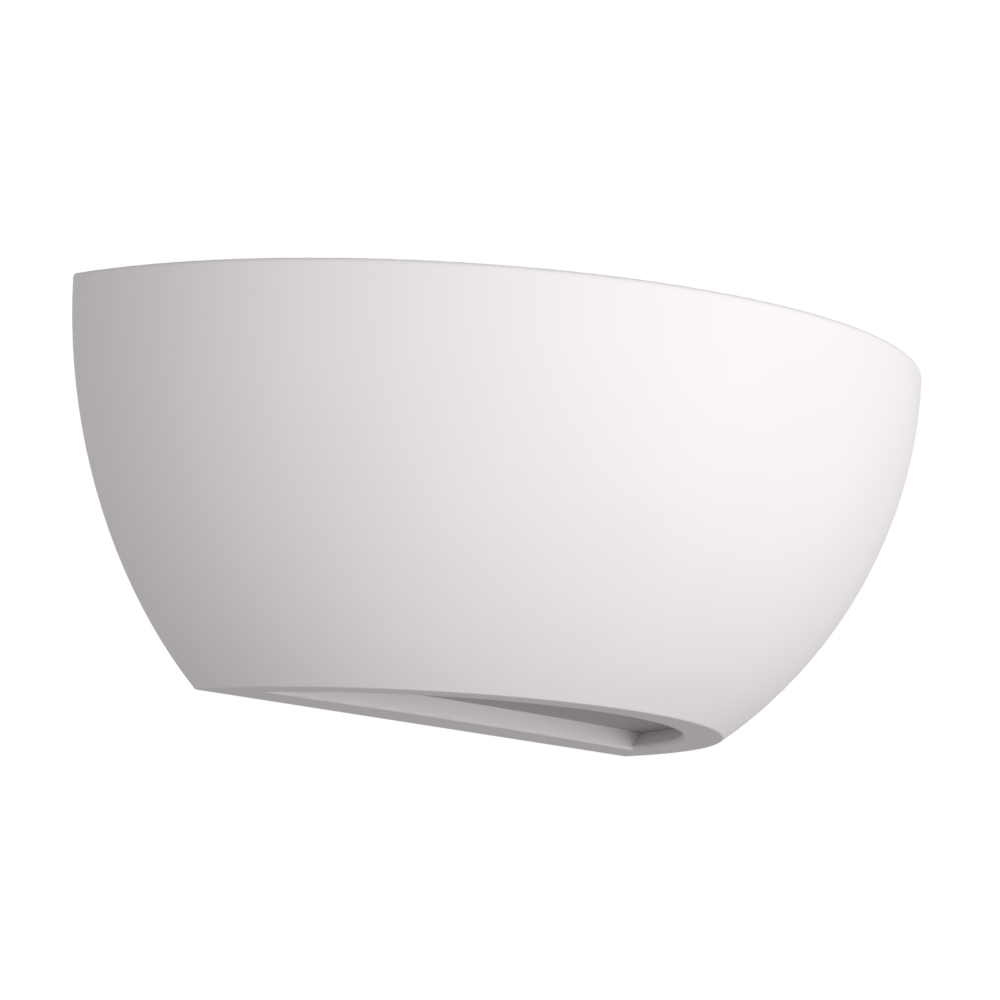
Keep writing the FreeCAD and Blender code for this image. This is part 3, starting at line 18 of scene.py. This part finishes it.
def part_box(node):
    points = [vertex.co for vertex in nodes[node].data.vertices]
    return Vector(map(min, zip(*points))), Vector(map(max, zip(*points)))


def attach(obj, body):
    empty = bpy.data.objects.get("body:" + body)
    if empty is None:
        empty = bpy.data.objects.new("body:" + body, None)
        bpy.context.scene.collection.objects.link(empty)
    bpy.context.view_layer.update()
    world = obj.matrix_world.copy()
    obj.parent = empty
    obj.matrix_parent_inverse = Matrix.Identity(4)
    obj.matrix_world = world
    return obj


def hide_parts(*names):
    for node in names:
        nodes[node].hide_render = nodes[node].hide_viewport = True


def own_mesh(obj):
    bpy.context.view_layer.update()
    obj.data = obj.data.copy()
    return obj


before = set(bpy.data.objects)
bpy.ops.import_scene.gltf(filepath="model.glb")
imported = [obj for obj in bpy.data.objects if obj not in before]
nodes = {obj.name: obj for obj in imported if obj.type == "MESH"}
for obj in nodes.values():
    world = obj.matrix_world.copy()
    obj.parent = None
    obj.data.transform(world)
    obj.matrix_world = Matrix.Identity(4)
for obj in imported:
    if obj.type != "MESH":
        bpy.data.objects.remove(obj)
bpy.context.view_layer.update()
MM = 0.001

# %% [markdown]
# ## The camera
#
# The photograph looks at the left front of the bowl from a little below. The camera's place follows
# from the outline: the round rim shows as an ellipse, and the ellipse's tilt, width and height give
# the direction, the small roll and the distance. A long lens keeps the perspective weak.

# %% Camera
AZIMUTH = math.radians(45.24)
BELOW = math.radians(8.85)
ROLL = math.radians(2.93)
BOWL_RADIUS = 150 * MM
RIM_CENTRE = Vector((0, 0, 50 * MM))
DISTANCE = 9.50 * BOWL_RADIUS
ACROSS, DOWN = 0.140 * BOWL_RADIUS, 0.288 * BOWL_RADIUS

right = Vector((math.cos(AZIMUTH), -math.sin(AZIMUTH), 0))
back = Vector((
    -math.sin(AZIMUTH) * math.cos(BELOW),
    -math.cos(AZIMUTH) * math.cos(BELOW),
    -math.sin(BELOW),
))
up = back.cross(right)
place = RIM_CENTRE + right * ACROSS - up * DOWN + back * DISTANCE
turned_right = right * math.cos(ROLL) + up * math.sin(ROLL)
turned_up = up * math.cos(ROLL) - right * math.sin(ROLL)
turned = Matrix((turned_right, turned_up, back)).transposed().to_4x4()

camera = bpy.data.objects.new("camera", bpy.data.cameras.new("camera"))
camera.data.lens = 164.2
camera.data.sensor_width = 36.0
camera.data.clip_end = 20.0
camera.matrix_world = Matrix.Translation(place) @ turned
bpy.context.scene.collection.objects.link(camera)
bpy.context.scene.camera = camera
print("camera at", [round(v, 3) for v in place])

# %% [markdown]
# ## Helpers for materials
#
# A colour is easiest to read as the hex value that a painter's chart or a screen would give. Shaders
# work in linear light, so one function turns it. A second small function adds any kind of node with
# its settings and links, which keeps a material's recipe to a few lines. Three more start a
# material, end it, and put it on solids.

# %% Colour and node helpers
# A mixing node has one set of sockets for each kind of data. These are the ones for colours.
FIRST_COLOUR, SECOND_COLOUR, MIXED_COLOUR = 6, 7, 2


def linear(text):
    """An sRGB hex colour as linear RGBA: c / 12.92 if dark, else ((c + 0.055) / 1.055) ** 2.4."""
    channels = np.array([int(text[i : i + 2], 16) / 255 for i in (1, 3, 5)])
    light = np.where(channels <= 0.04045, channels / 12.92, ((channels + 0.055) / 1.055) ** 2.4)
    return (*map(float, light), 1.0)


def add(tree, kind, inputs=None, **settings):
    """Adds one node. An input goes by its name, or by its number where names repeat.

    Its value is a number, a colour, or another node's output to link."""
    node = tree.nodes.new("ShaderNode" + kind)
    for name, value in settings.items():
        setattr(node, name, value)
    for name, value in (inputs or {}).items():
        if isinstance(value, bpy.types.NodeSocket):
            tree.links.new(value, node.inputs[name])
        else:
            node.inputs[name].default_value = value
    return node


def new_material(name):
    """A material, its empty node tree, and the object's own coordinates in metres."""
    made = bpy.data.materials.new(name)
    made.use_nodes = True
    made.node_tree.nodes.clear()
    return made, made.node_tree, add(made.node_tree, "TexCoord").outputs["Object"]


def close(tree, **inputs):
    """The Principled surface that ends a material's tree. An underscore stands for a space."""
    named = {name.replace("_", " "): value for name, value in inputs.items()}
    surface = add(tree, "BsdfPrincipled", named)
    add(tree, "OutputMaterial", {"Surface": surface.outputs["BSDF"]})


def dress(material, *names):
    """Puts one material on every slot of these solids."""
    for name in names:
        mesh = nodes[name].data
        mesh.materials.clear()
        mesh.materials.append(material)
    print(material.name, "on", ", ".join(names))


print("a screen's middle grey is", round(linear("#808080")[0], 3), "in linear light")

# %% [markdown]
# ## A speckled, slightly uneven surface
#
# Most of the finishes here are one colour that drifts a little over centimetres, with a fine bump.
# The drift is a noise pattern between two close colours, and the bump is a second, finer noise.
# A third noise makes the gloss uneven. All sizes are real ones in millimetres, so a pattern does not
# change with the size of a piece. A noise's detail is how many finer layers are added to it.

# %% Drift and bump
DRIFT_DETAIL, GRAIN_DETAIL, GLOSS_DETAIL = 3.0, 4.0, 2.0


def drift(tree, where, light, dark, size_mm):
    """A colour that wanders between two close ones over patches of this size."""
    noise = add(tree, "TexNoise", {"Vector": where, "Scale": 1 / (size_mm * MM), "Detail": DRIFT_DETAIL})
    mix = add(
        tree, "Mix",
        {"Factor": noise.outputs["Fac"], FIRST_COLOUR: linear(light), SECOND_COLOUR: linear(dark)},
        data_type="RGBA",
    )
    return mix.outputs[MIXED_COLOUR]


def grain(tree, where, size_mm, height_mm, stretch=(1, 1, 1)):
    """A bump of this grain size and height. A stretch below 1 draws the grain out along its axis."""
    scaled = add(tree, "Mapping", {"Vector": where, "Scale": stretch}).outputs["Vector"]
    noise = add(tree, "TexNoise", {"Vector": scaled, "Scale": 1 / (size_mm * MM), "Detail": GRAIN_DETAIL})
    bump = {"Height": noise.outputs["Fac"], "Strength": 1.0, "Distance": height_mm * MM}
    return add(tree, "Bump", bump).outputs["Normal"]


def uneven(tree, where, low, high, size_mm):
    """A roughness that wanders between two values over patches of this size."""
    noise = add(tree, "TexNoise", {"Vector": where, "Scale": 1 / (size_mm * MM), "Detail": GLOSS_DETAIL})
    spread = add(tree, "MapRange", {"Value": noise.outputs["Fac"], "To Min": low, "To Max": high})
    return spread.outputs["Result"]


print("layers of detail: colour", DRIFT_DETAIL, "bump", GRAIN_DETAIL, "gloss", GLOSS_DETAIL)

# %% [markdown]
# ## Cast plaster
#
# Gypsum plaster is poured into a mould, dried, rubbed down and sealed with a matt white primer. It
# scatters light almost evenly and has no clear highlight. The primer leaves a very faint mottle, and
# the rubbing down leaves a fine tooth. The grain of real plaster is under 0.1 mm, too fine to show,
# so it is drawn at 0.9 mm and very shallow.

# %% Plaster
plaster, tree, where = new_material("cast_plaster_primed_white")
close(
    tree,
    Base_Color=drift(tree, where, "#f4f0f3", "#f0ebee", 45),
    Roughness=uneven(tree, where, 0.78, 0.9, 12),
    Specular_IOR_Level=0.25,
    Normal=grain(tree, where, 0.9, 0.006),
)
dress(plaster, "plaster_shell")

# %% [markdown]
# ## Frosted glass
#
# Float glass, 4 mm thick, etched on one side. Etching breaks the light up, so the pane glows softly
# and nothing behind it has a sharp edge. Part of the light goes through and part is scattered back,
# which a partly transmissive, rough surface gives without the noise of a truly clear one.

# %% Frosted glass
frosted, tree, where = new_material("etched_float_glass")
close(
    tree,
    Base_Color=drift(tree, where, "#e0dade", "#dad4d8", 20),
    Roughness=0.6,
    IOR=1.5,
    Transmission_Weight=0.35,
    Normal=grain(tree, where, 0.35, 0.004),
)
dress(frosted, "diffuser_pane")

# %% [markdown]
# ## Recipes for metals
#
# Each metal here has two close colours, a spread of roughness and a fine grain. A metal's colour is
# that of its reflection.
#
# The studs have a rolled 4 mm thread with a pitch of 0.7 mm. They all stand square to the wall, so
# bands along y draw its ridges. The bands' lean is 3 degrees on the real thread and is left out.

# %% Recipes for metals
THREAD_PITCH_MM = 0.7
RIDGE_HEIGHT = 0.3  # as a part of the pitch


def thread(tree, where, pitch_mm, under):
    """The ridges of a thread, as a bump over another one. Bands lie pi / 10 / scale apart."""
    bands = add(
        tree, "TexWave", {"Vector": where, "Scale": math.pi / 10 / (pitch_mm * MM)},
        wave_type="BANDS", bands_direction="Y", wave_profile="TRI",
    )
    ridges = {
        "Height": bands.outputs["Fac"],
        "Strength": 1.0,
        "Distance": RIDGE_HEIGHT * pitch_mm * MM,
        "Normal": under,
    }
    return add(tree, "Bump", ridges).outputs["Normal"]


def metal(name, light, dark, low, high, patch_mm, grain_mm, height_mm, stretch=(1, 1, 1), pitch_mm=0.0):
    """Two close colours, the lowest and highest roughness, the size of their patches, and the
    size and height of the grain. A pitch adds a thread."""
    made, tree, where = new_material(name)
    skin = grain(tree, where, grain_mm, height_mm, stretch)
    close(
        tree,
        Base_Color=drift(tree, where, light, dark, patch_mm),
        Metallic=1.0,
        Roughness=uneven(tree, where, low, high, patch_mm),
        Normal=thread(tree, where, pitch_mm, skin) if pitch_mm else skin,
    )
    return made


print("thread pitch", THREAD_PITCH_MM, "mm")

# %% [markdown]
# ## Which metal goes where
#
# Zinc-plated steel is grey with a slight blue cast and small patches of uneven gloss. The reflector
# is bright rolled aluminium, with lines along the way it was rolled, which is along x. Brass, nickel
# plate and spring steel differ in colour and gloss.

# %% Metals
ZINC_PLATE = ("#c3c7cb", "#b1b6bb", 0.28, 0.46, 3.0, 0.4, 0.004)
ROLLED_ALONG_X = (0.04, 1, 1)

zinc = metal("zinc_plated_steel", *ZINC_PLATE)
rolled_thread = metal("zinc_plated_rolled_thread", *ZINC_PLATE, pitch_mm=THREAD_PITCH_MM)
rolled = metal(
    "bright_rolled_aluminium", "#e6e7e9", "#dcdee0", 0.14, 0.24, 14.0, 0.5, 0.002, ROLLED_ALONG_X,
)
rivet_metal = metal("turned_aluminium", "#cfd1d3", "#bfc1c4", 0.3, 0.42, 2.0, 0.3, 0.003)
brass = metal("cut_brass", "#d9bd78", "#c9a861", 0.24, 0.4, 2.5, 0.3, 0.003)
nickel = metal("nickel_plated_brass", "#d6d0c6", "#c8c2b8", 0.12, 0.22, 2.5, 0.3, 0.002)
spring_steel = metal("drawn_spring_steel", "#a7a7a9", "#939396", 0.25, 0.4, 1.5, 0.2, 0.002)

dress(
    zinc, "wall_plate", "carriage_washers", "thumb_nuts", "earth_washers", "earth_nut",
    "earth_tag_screw", "earth_tag_nut", "lampholder_screws", "terminal_fixing_screws",
    "terminal_screws",
)
dress(rolled_thread, "plate_studs", "earth_stud")
dress(rolled, "reflector")
dress(rivet_metal, "reflector_rivets")
dress(brass, "terminal_inserts", "contact_tags", "earth_tag")
dress(nickel, "contact_plunger", "fixed_contact", "lamp_contacts")
dress(spring_steel, "contact_spring")

# %% [markdown]
# ## Paint, ceramic, mouldings and rubber
#
# The carriage is powder coated, which leaves a soft dimpled skin. Steatite is a dense ceramic, off
# white and dull, with dark specks from the clay. The terminal block is moulded nylon and the bushes
# are silicone rubber. Each is a colour that drifts a little, with its own gloss and grain.

# %% Paint, ceramic, mouldings and rubber
def coating(name, light, dark, low, high, patch_mm, grain_mm, height_mm):
    """A paint, ceramic or plastic, from the same measures as a metal."""
    made, tree, where = new_material(name)
    close(
        tree,
        Base_Color=drift(tree, where, light, dark, patch_mm),
        Roughness=uneven(tree, where, low, high, patch_mm),
        Normal=grain(tree, where, grain_mm, height_mm),
    )
    return made


dress(coating("powder_coated_white", "#f1f1ef", "#e9e9e7", 0.38, 0.5, 18, 1.1, 0.01), "lamp_carriage")
dress(
    coating("fired_steatite", "#efe9dc", "#e2dac9", 0.45, 0.62, 2.2, 0.5, 0.008),
    "sprung_lampholder", "fixed_lampholder", "holder_end_plugs", "lamp_caps",
)
dress(coating("moulded_nylon", "#ece8dd", "#e3decf", 0.35, 0.48, 6, 0.6, 0.004), "terminal_block")
dress(
    coating("silicone_rubber", "#d9d8d2", "#cccbc4", 0.5, 0.62, 4, 0.5, 0.004),
    "cable_grommet", "wire_bushes",
)

# %% [markdown]
# ## Sleeved wires
#
# Near a hot lamp the wires wear a braided glass-fibre sleeve soaked in silicone. The braid is drawn
# as a nearly regular pattern of bumps, 0.5 mm across. Brown is live and blue is neutral. The earth is
# green and yellow, one colour on each side: it lies in the plane x = 0, so the sign of x parts the
# two.

# %% Sleeved wires
BRAID_MM, BRAID_HEIGHT_MM, SLEEVE_PATCH_MM = 0.5, 0.08, 3


def sleeve(name, colour):
    """A braided sleeve. Colour is two hex values, or a function that builds it in the tree."""
    made, tree, where = new_material(name)
    cells = add(
        tree, "TexVoronoi",
        {"Vector": where, "Scale": 1 / (BRAID_MM * MM), "Randomness": 0.25},
    )
    bump = {"Height": cells.outputs["Distance"], "Strength": 0.6, "Distance": BRAID_HEIGHT_MM * MM}
    normal = add(tree, "Bump", bump).outputs["Normal"]
    base = colour(tree, where) if callable(colour) else drift(tree, where, *colour, SLEEVE_PATCH_MM)
    close(tree, Base_Color=base, Roughness=0.6, Normal=normal)
    return made


def two_sided(tree, where):
    """Green where x is below nought and yellow where it is above."""
    green, yellow = linear("#2f8f3d"), linear("#e6cf3a")
    across = add(tree, "SeparateXYZ", {"Vector": where})
    side = add(tree, "Math", {0: across.outputs["X"], 1: 0.0}, operation="GREATER_THAN")
    mix = add(
        tree, "Mix",
        {"Factor": side.outputs["Value"], FIRST_COLOUR: green, SECOND_COLOUR: yellow},
        data_type="RGBA",
    )
    return mix.outputs[MIXED_COLOUR]


dress(sleeve("brown_glass_sleeve", ("#6e4128", "#5f3722")), "live_wire")
dress(sleeve("blue_glass_sleeve", ("#3f6fae", "#355f98")), "neutral_wire")
dress(sleeve("green_yellow_glass_sleeve", two_sided), "earth_wire")

# %% [markdown]
# ## Quartz
#
# The lamp's tube is fused quartz, which bends light a little less than window glass and is quite
# clear. The solid is hollow, so light crosses both walls as in the real tube.

# %% Quartz
quartz, tree, where = new_material("fused_quartz")
close(
    tree,
    Base_Color=drift(tree, where, "#ffffff", "#fbfcfd", 15),
    Roughness=0.02,
    IOR=1.46,
    Transmission_Weight=1.0,
)
dress(quartz, "lamp_tube")

# %% [markdown]
# ## A tube along a path
#
# The filament, its rings and the wires that hold it are all round wires along a path. A tube is the
# surface of a circle carried along that path. The path's direction is its gradient. One fixed vector
# gives the first side direction: it is x, because none of these wires runs along x. A cross product
# gives the second.

# %% Tube builder
def piece(name, points, faces, material, body):
    """A finished mesh at the origin that rides on a body and takes its finish from a slot."""
    mesh = bpy.data.meshes.new(name)
    mesh.from_pydata(points.reshape(-1, 3).tolist(), [], faces.tolist())
    mesh.materials.append(material)
    mesh.polygons.foreach_set("use_smooth", np.full(len(mesh.polygons), True))
    mesh.update()
    made = bpy.data.objects.new(name, mesh)
    bpy.context.scene.collection.objects.link(made)
    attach(made, body)
    print(name, len(mesh.polygons), "faces on", body)
    return made


def grid_faces(rows, sides, start=0):
    """Quads of a grid that closes round its sides: (row, side) to the next row and the next side."""
    row, side = np.meshgrid(np.arange(rows - 1), np.arange(sides), indexing="ij")
    after = (side + 1) % sides
    here, ahead = row * sides, (row + 1) * sides
    corners = (here + side, here + after, ahead + after, ahead + side)
    return np.stack(corners, -1).reshape(-1, 4) + start


def tube(path, radius, sides, aside=(1.0, 0.0, 0.0)):
    """Points of a tube: path + radius * (cos a * first + sin a * second), with a round the circle."""
    heading = np.gradient(path, axis=0)
    heading /= np.linalg.norm(heading, axis=1, keepdims=True)
    first = np.cross(heading, aside)
    first /= np.linalg.norm(first, axis=1, keepdims=True)
    second = np.cross(heading, first)
    angle = np.linspace(0, 2 * np.pi, sides, endpoint=False)[None, :, None]
    return path[:, None] + radius * (np.cos(angle) * first[:, None] + np.sin(angle) * second[:, None])


print("a grid of 3 rows and 4 sides has", len(grid_faces(3, 4)), "faces")

# %% [markdown]
# ## The filament's coil
#
# A linear lamp's filament is tungsten wire wound into a long thin coil. In the solids it is a plain
# rod with five rings. Here the rod is wound: x goes steadily along the lamp while y and z go round a
# circle. Real turns are about 0.3 mm apart, and 0.8 mm keeps them apart in a picture.

# %% The filament's coil
# The coil's radius, its wire's radius and the way along x of one turn.
COIL_RADIUS, COIL_WIRE, TURN_PITCH = 0.5 * MM, 0.1 * MM, 0.8 * MM
INSET, COIL_STEPS, COIL_SIDES = 0.4 * MM, 10, 6

low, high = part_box("lamp_filament")
axis_y, axis_z = (low.y + high.y) / 2, (low.z + high.z) / 2
turns = (high.x - low.x - 2 * INSET) / TURN_PITCH
along = np.linspace(0, turns, int(turns * COIL_STEPS))
coil = np.stack(
    [
        low.x + INSET + along * TURN_PITCH,
        axis_y + COIL_RADIUS * np.cos(2 * np.pi * along),
        axis_z + COIL_RADIUS * np.sin(2 * np.pi * along),
    ], -1,
)
print("the coil has", round(turns), "turns")

# %% [markdown]
# ## The filament's supports
#
# A hot coil would sag on to the quartz. Rings of thicker wire stand inside the tube at even steps,
# and a straight spoke from the lowest point of each holds the coil in the middle. Ring and spoke are
# tubes like the coil, and all of them go into one piece.

# %% The filament's supports
RING_WIRE, RING_COUNT, RING_POINTS, SPOKE_POINTS, RING_SIDES = 0.25 * MM, 5, 33, 5, 8

tungsten = metal("drawn_tungsten", "#6f6c69", "#5f5c5a", 0.3, 0.45, 1.0, 0.2, 0.001)
points = [tube(coil, COIL_WIRE, COIL_SIDES).reshape(-1, 3)]
faces = [grid_faces(len(coil), COIL_SIDES)]
ring_radius = (high.y - low.y) / 2 - RING_WIRE
ring_step = (high.x - low.x) / (RING_COUNT + 1)
turn = np.linspace(0, 2 * np.pi, RING_POINTS)
rise = np.linspace(-ring_radius, 0, SPOKE_POINTS)
for ring in range(RING_COUNT):
    x = low.x + (ring + 1) * ring_step
    circle = np.stack(
        [
            np.full_like(turn, x),
            axis_y + ring_radius * np.sin(turn),
            axis_z - ring_radius * np.cos(turn),
        ], -1,
    )
    spoke = np.stack([np.full_like(rise, x), np.full_like(rise, axis_y), axis_z + rise], -1)
    for path in (circle, spoke):
        faces.append(grid_faces(len(path), RING_SIDES, sum(map(len, points))))
        points.append(tube(path, RING_WIRE, RING_SIDES).reshape(-1, 3))
filament = piece(
    "wound_filament", np.concatenate(points), np.concatenate(faces), tungsten, "lamp",
)
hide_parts("lamp_filament")

# %% [markdown]
# ## The contact spring
#
# The spring behind the sprung contact is cold-wound wire with its end turns closed, so that it stands
# square. The picture has its own spring: x goes down with the turns, slowly in the closed end turns
# and faster between them, while y and z go round. It keeps one length.

# %% Contact spring
# The wire's radius, the turns in all and in each closed end, and how far the contact moves.
SPRING_WIRE, SPRING_TURNS, CLOSED_TURNS, PRESS_TRAVEL = 0.25 * MM, 5.5, 1.0, 3.5 * MM
CLOSED_RISE, SPRING_STEPS, SPRING_SIDES = 2.2 * SPRING_WIRE, 36, 10

low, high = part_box("contact_spring")
spring_mean = (high.y - low.y) / 2 - SPRING_WIRE
middle = (low + high) / 2
spring_length = high.x - low.x - 2 * SPRING_WIRE
turn = np.linspace(0, SPRING_TURNS, int(SPRING_TURNS * SPRING_STEPS) + 1)
drop = np.interp(
    turn,
    [0, CLOSED_TURNS, SPRING_TURNS - CLOSED_TURNS, SPRING_TURNS],
    [0, CLOSED_RISE, spring_length - CLOSED_RISE, spring_length],
)
wound = np.stack(
    [
        high.x - SPRING_WIRE - drop,
        middle.y + spring_mean * np.cos(2 * np.pi * turn),
        middle.z + spring_mean * np.sin(2 * np.pi * turn),
    ], -1,
)
spring = piece(
    "wound_contact_spring", tube(wound, SPRING_WIRE, SPRING_SIDES), grid_faces(len(wound), SPRING_SIDES),
    spring_steel, "fitting",
)
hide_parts("contact_spring")
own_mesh(spring)

# %% [markdown]
# ## The floor
#
# A matt painted floor sends a little light up to the bowl's underside. It lies far below the camera,
# which itself stands lower than the bowl and looks up.

# %% Floor
FLOOR_LEVEL, FLOOR_HALF = -3.3, 2.4

corners = [(-1, -1), (1, -1), (1, 1), (-1, 1)]
mesh = bpy.data.meshes.new("floor")
mesh.from_pydata(
    [(x * FLOOR_HALF, y * FLOOR_HALF, FLOOR_LEVEL) for x, y in corners],
    [], [(0, 1, 2, 3)],
)
floor_paint, tree, where = new_material("matt_floor_paint")
close(tree, Base_Color=drift(tree, where, "#e8e6e8", "#e4e2e4", 400), Roughness=0.9)
mesh.materials.append(floor_paint)
floor = bpy.data.objects.new("floor", mesh)
bpy.context.scene.collection.objects.link(floor)
print("floor", 2 * FLOOR_HALF, "m wide at", FLOOR_LEVEL, "m")

# %% [markdown]
# ## The key light
#
# The photograph has soft light from in front of the fitting, while the camera stands to the left of
# it. So the bowl is brightest where it faces the room, and it darkens towards its end at the wall. A
# round area light, larger than the fitting, makes that a soft turn from light to shade.

# %% Key light
KEY_AZIMUTH, KEY_HEIGHT, KEY_DISTANCE = math.radians(-3), math.radians(1), 2.2

key_from = Vector((
    math.sin(KEY_AZIMUTH) * math.cos(KEY_HEIGHT),
    -math.cos(KEY_AZIMUTH) * math.cos(KEY_HEIGHT),
    math.sin(KEY_HEIGHT),
))
aimed = key_from.to_track_quat("Z", "Y").to_matrix().to_4x4()
key_light = bpy.data.lights.new("soft_key", "AREA")
key_light.shape = "DISK"
key_light.size = 1.6
key_light.energy = 28.0
key = bpy.data.objects.new("soft_key", key_light)
key.matrix_world = Matrix.Translation(key_from * KEY_DISTANCE) @ aimed
bpy.context.scene.collection.objects.link(key)
print("key light from", [round(v, 2) for v in key_from])

# %% [markdown]
# ## The sky
#
# The sky is bright at the horizon and dim above and below, so that the bowl's underside stays in
# shade. Its strength is a product of three factors: one climbs from the nadir to the horizon, one
# falls from the horizon to the zenith, and one is greater in front than behind. Where the camera
# looks straight at it, it is plain white, like the photograph's ground.

# %% Sky
HORIZON, ZENITH, NADIR, FRONT_GAIN = 0.60, 0.24, 0.22, 0.28

world = bpy.data.worlds.new("studio")
bpy.context.scene.world = world
world.use_nodes = True
tree = world.node_tree
tree.nodes.clear()
split = add(tree, "SeparateXYZ", {"Vector": add(tree, "TexCoord").outputs["Generated"]})
below = add(
    tree, "MapRange",
    {"Value": split.outputs["Z"], "From Min": -1.0, "From Max": 0.0, "To Min": NADIR, "To Max": HORIZON},
)
above = add(tree, "MapRange", {"Value": split.outputs["Z"], "To Min": 1.0, "To Max": ZENITH / HORIZON})
front = add(tree, "Math", {0: split.outputs["Y"], 1: -FRONT_GAIN, 2: 1.0}, operation="MULTIPLY_ADD")
heights = {0: below.outputs["Result"], 1: above.outputs["Result"]}
level = add(tree, "Math", heights, operation="MULTIPLY")
factors = {0: level.outputs["Value"], 1: front.outputs["Value"]}
strength = add(tree, "Math", factors, operation="MULTIPLY")
sky = add(tree, "Background", {"Color": linear("#fdfbfd"), "Strength": strength.outputs["Value"]})
ground = add(tree, "Background", {"Color": (1.0, 1.0, 1.0, 1.0), "Strength": 1.0})
seen = add(tree, "LightPath").outputs["Is Camera Ray"]
mix = add(tree, "MixShader", {0: seen, 1: sky.outputs["Background"], 2: ground.outputs["Background"]})
add(tree, "OutputWorld", {"Surface": mix.outputs["Shader"]})
bpy.context.scene.view_settings.view_transform = "Standard"
print("sky from", HORIZON, "at the horizon to", ZENITH, "above and", NADIR, "below")
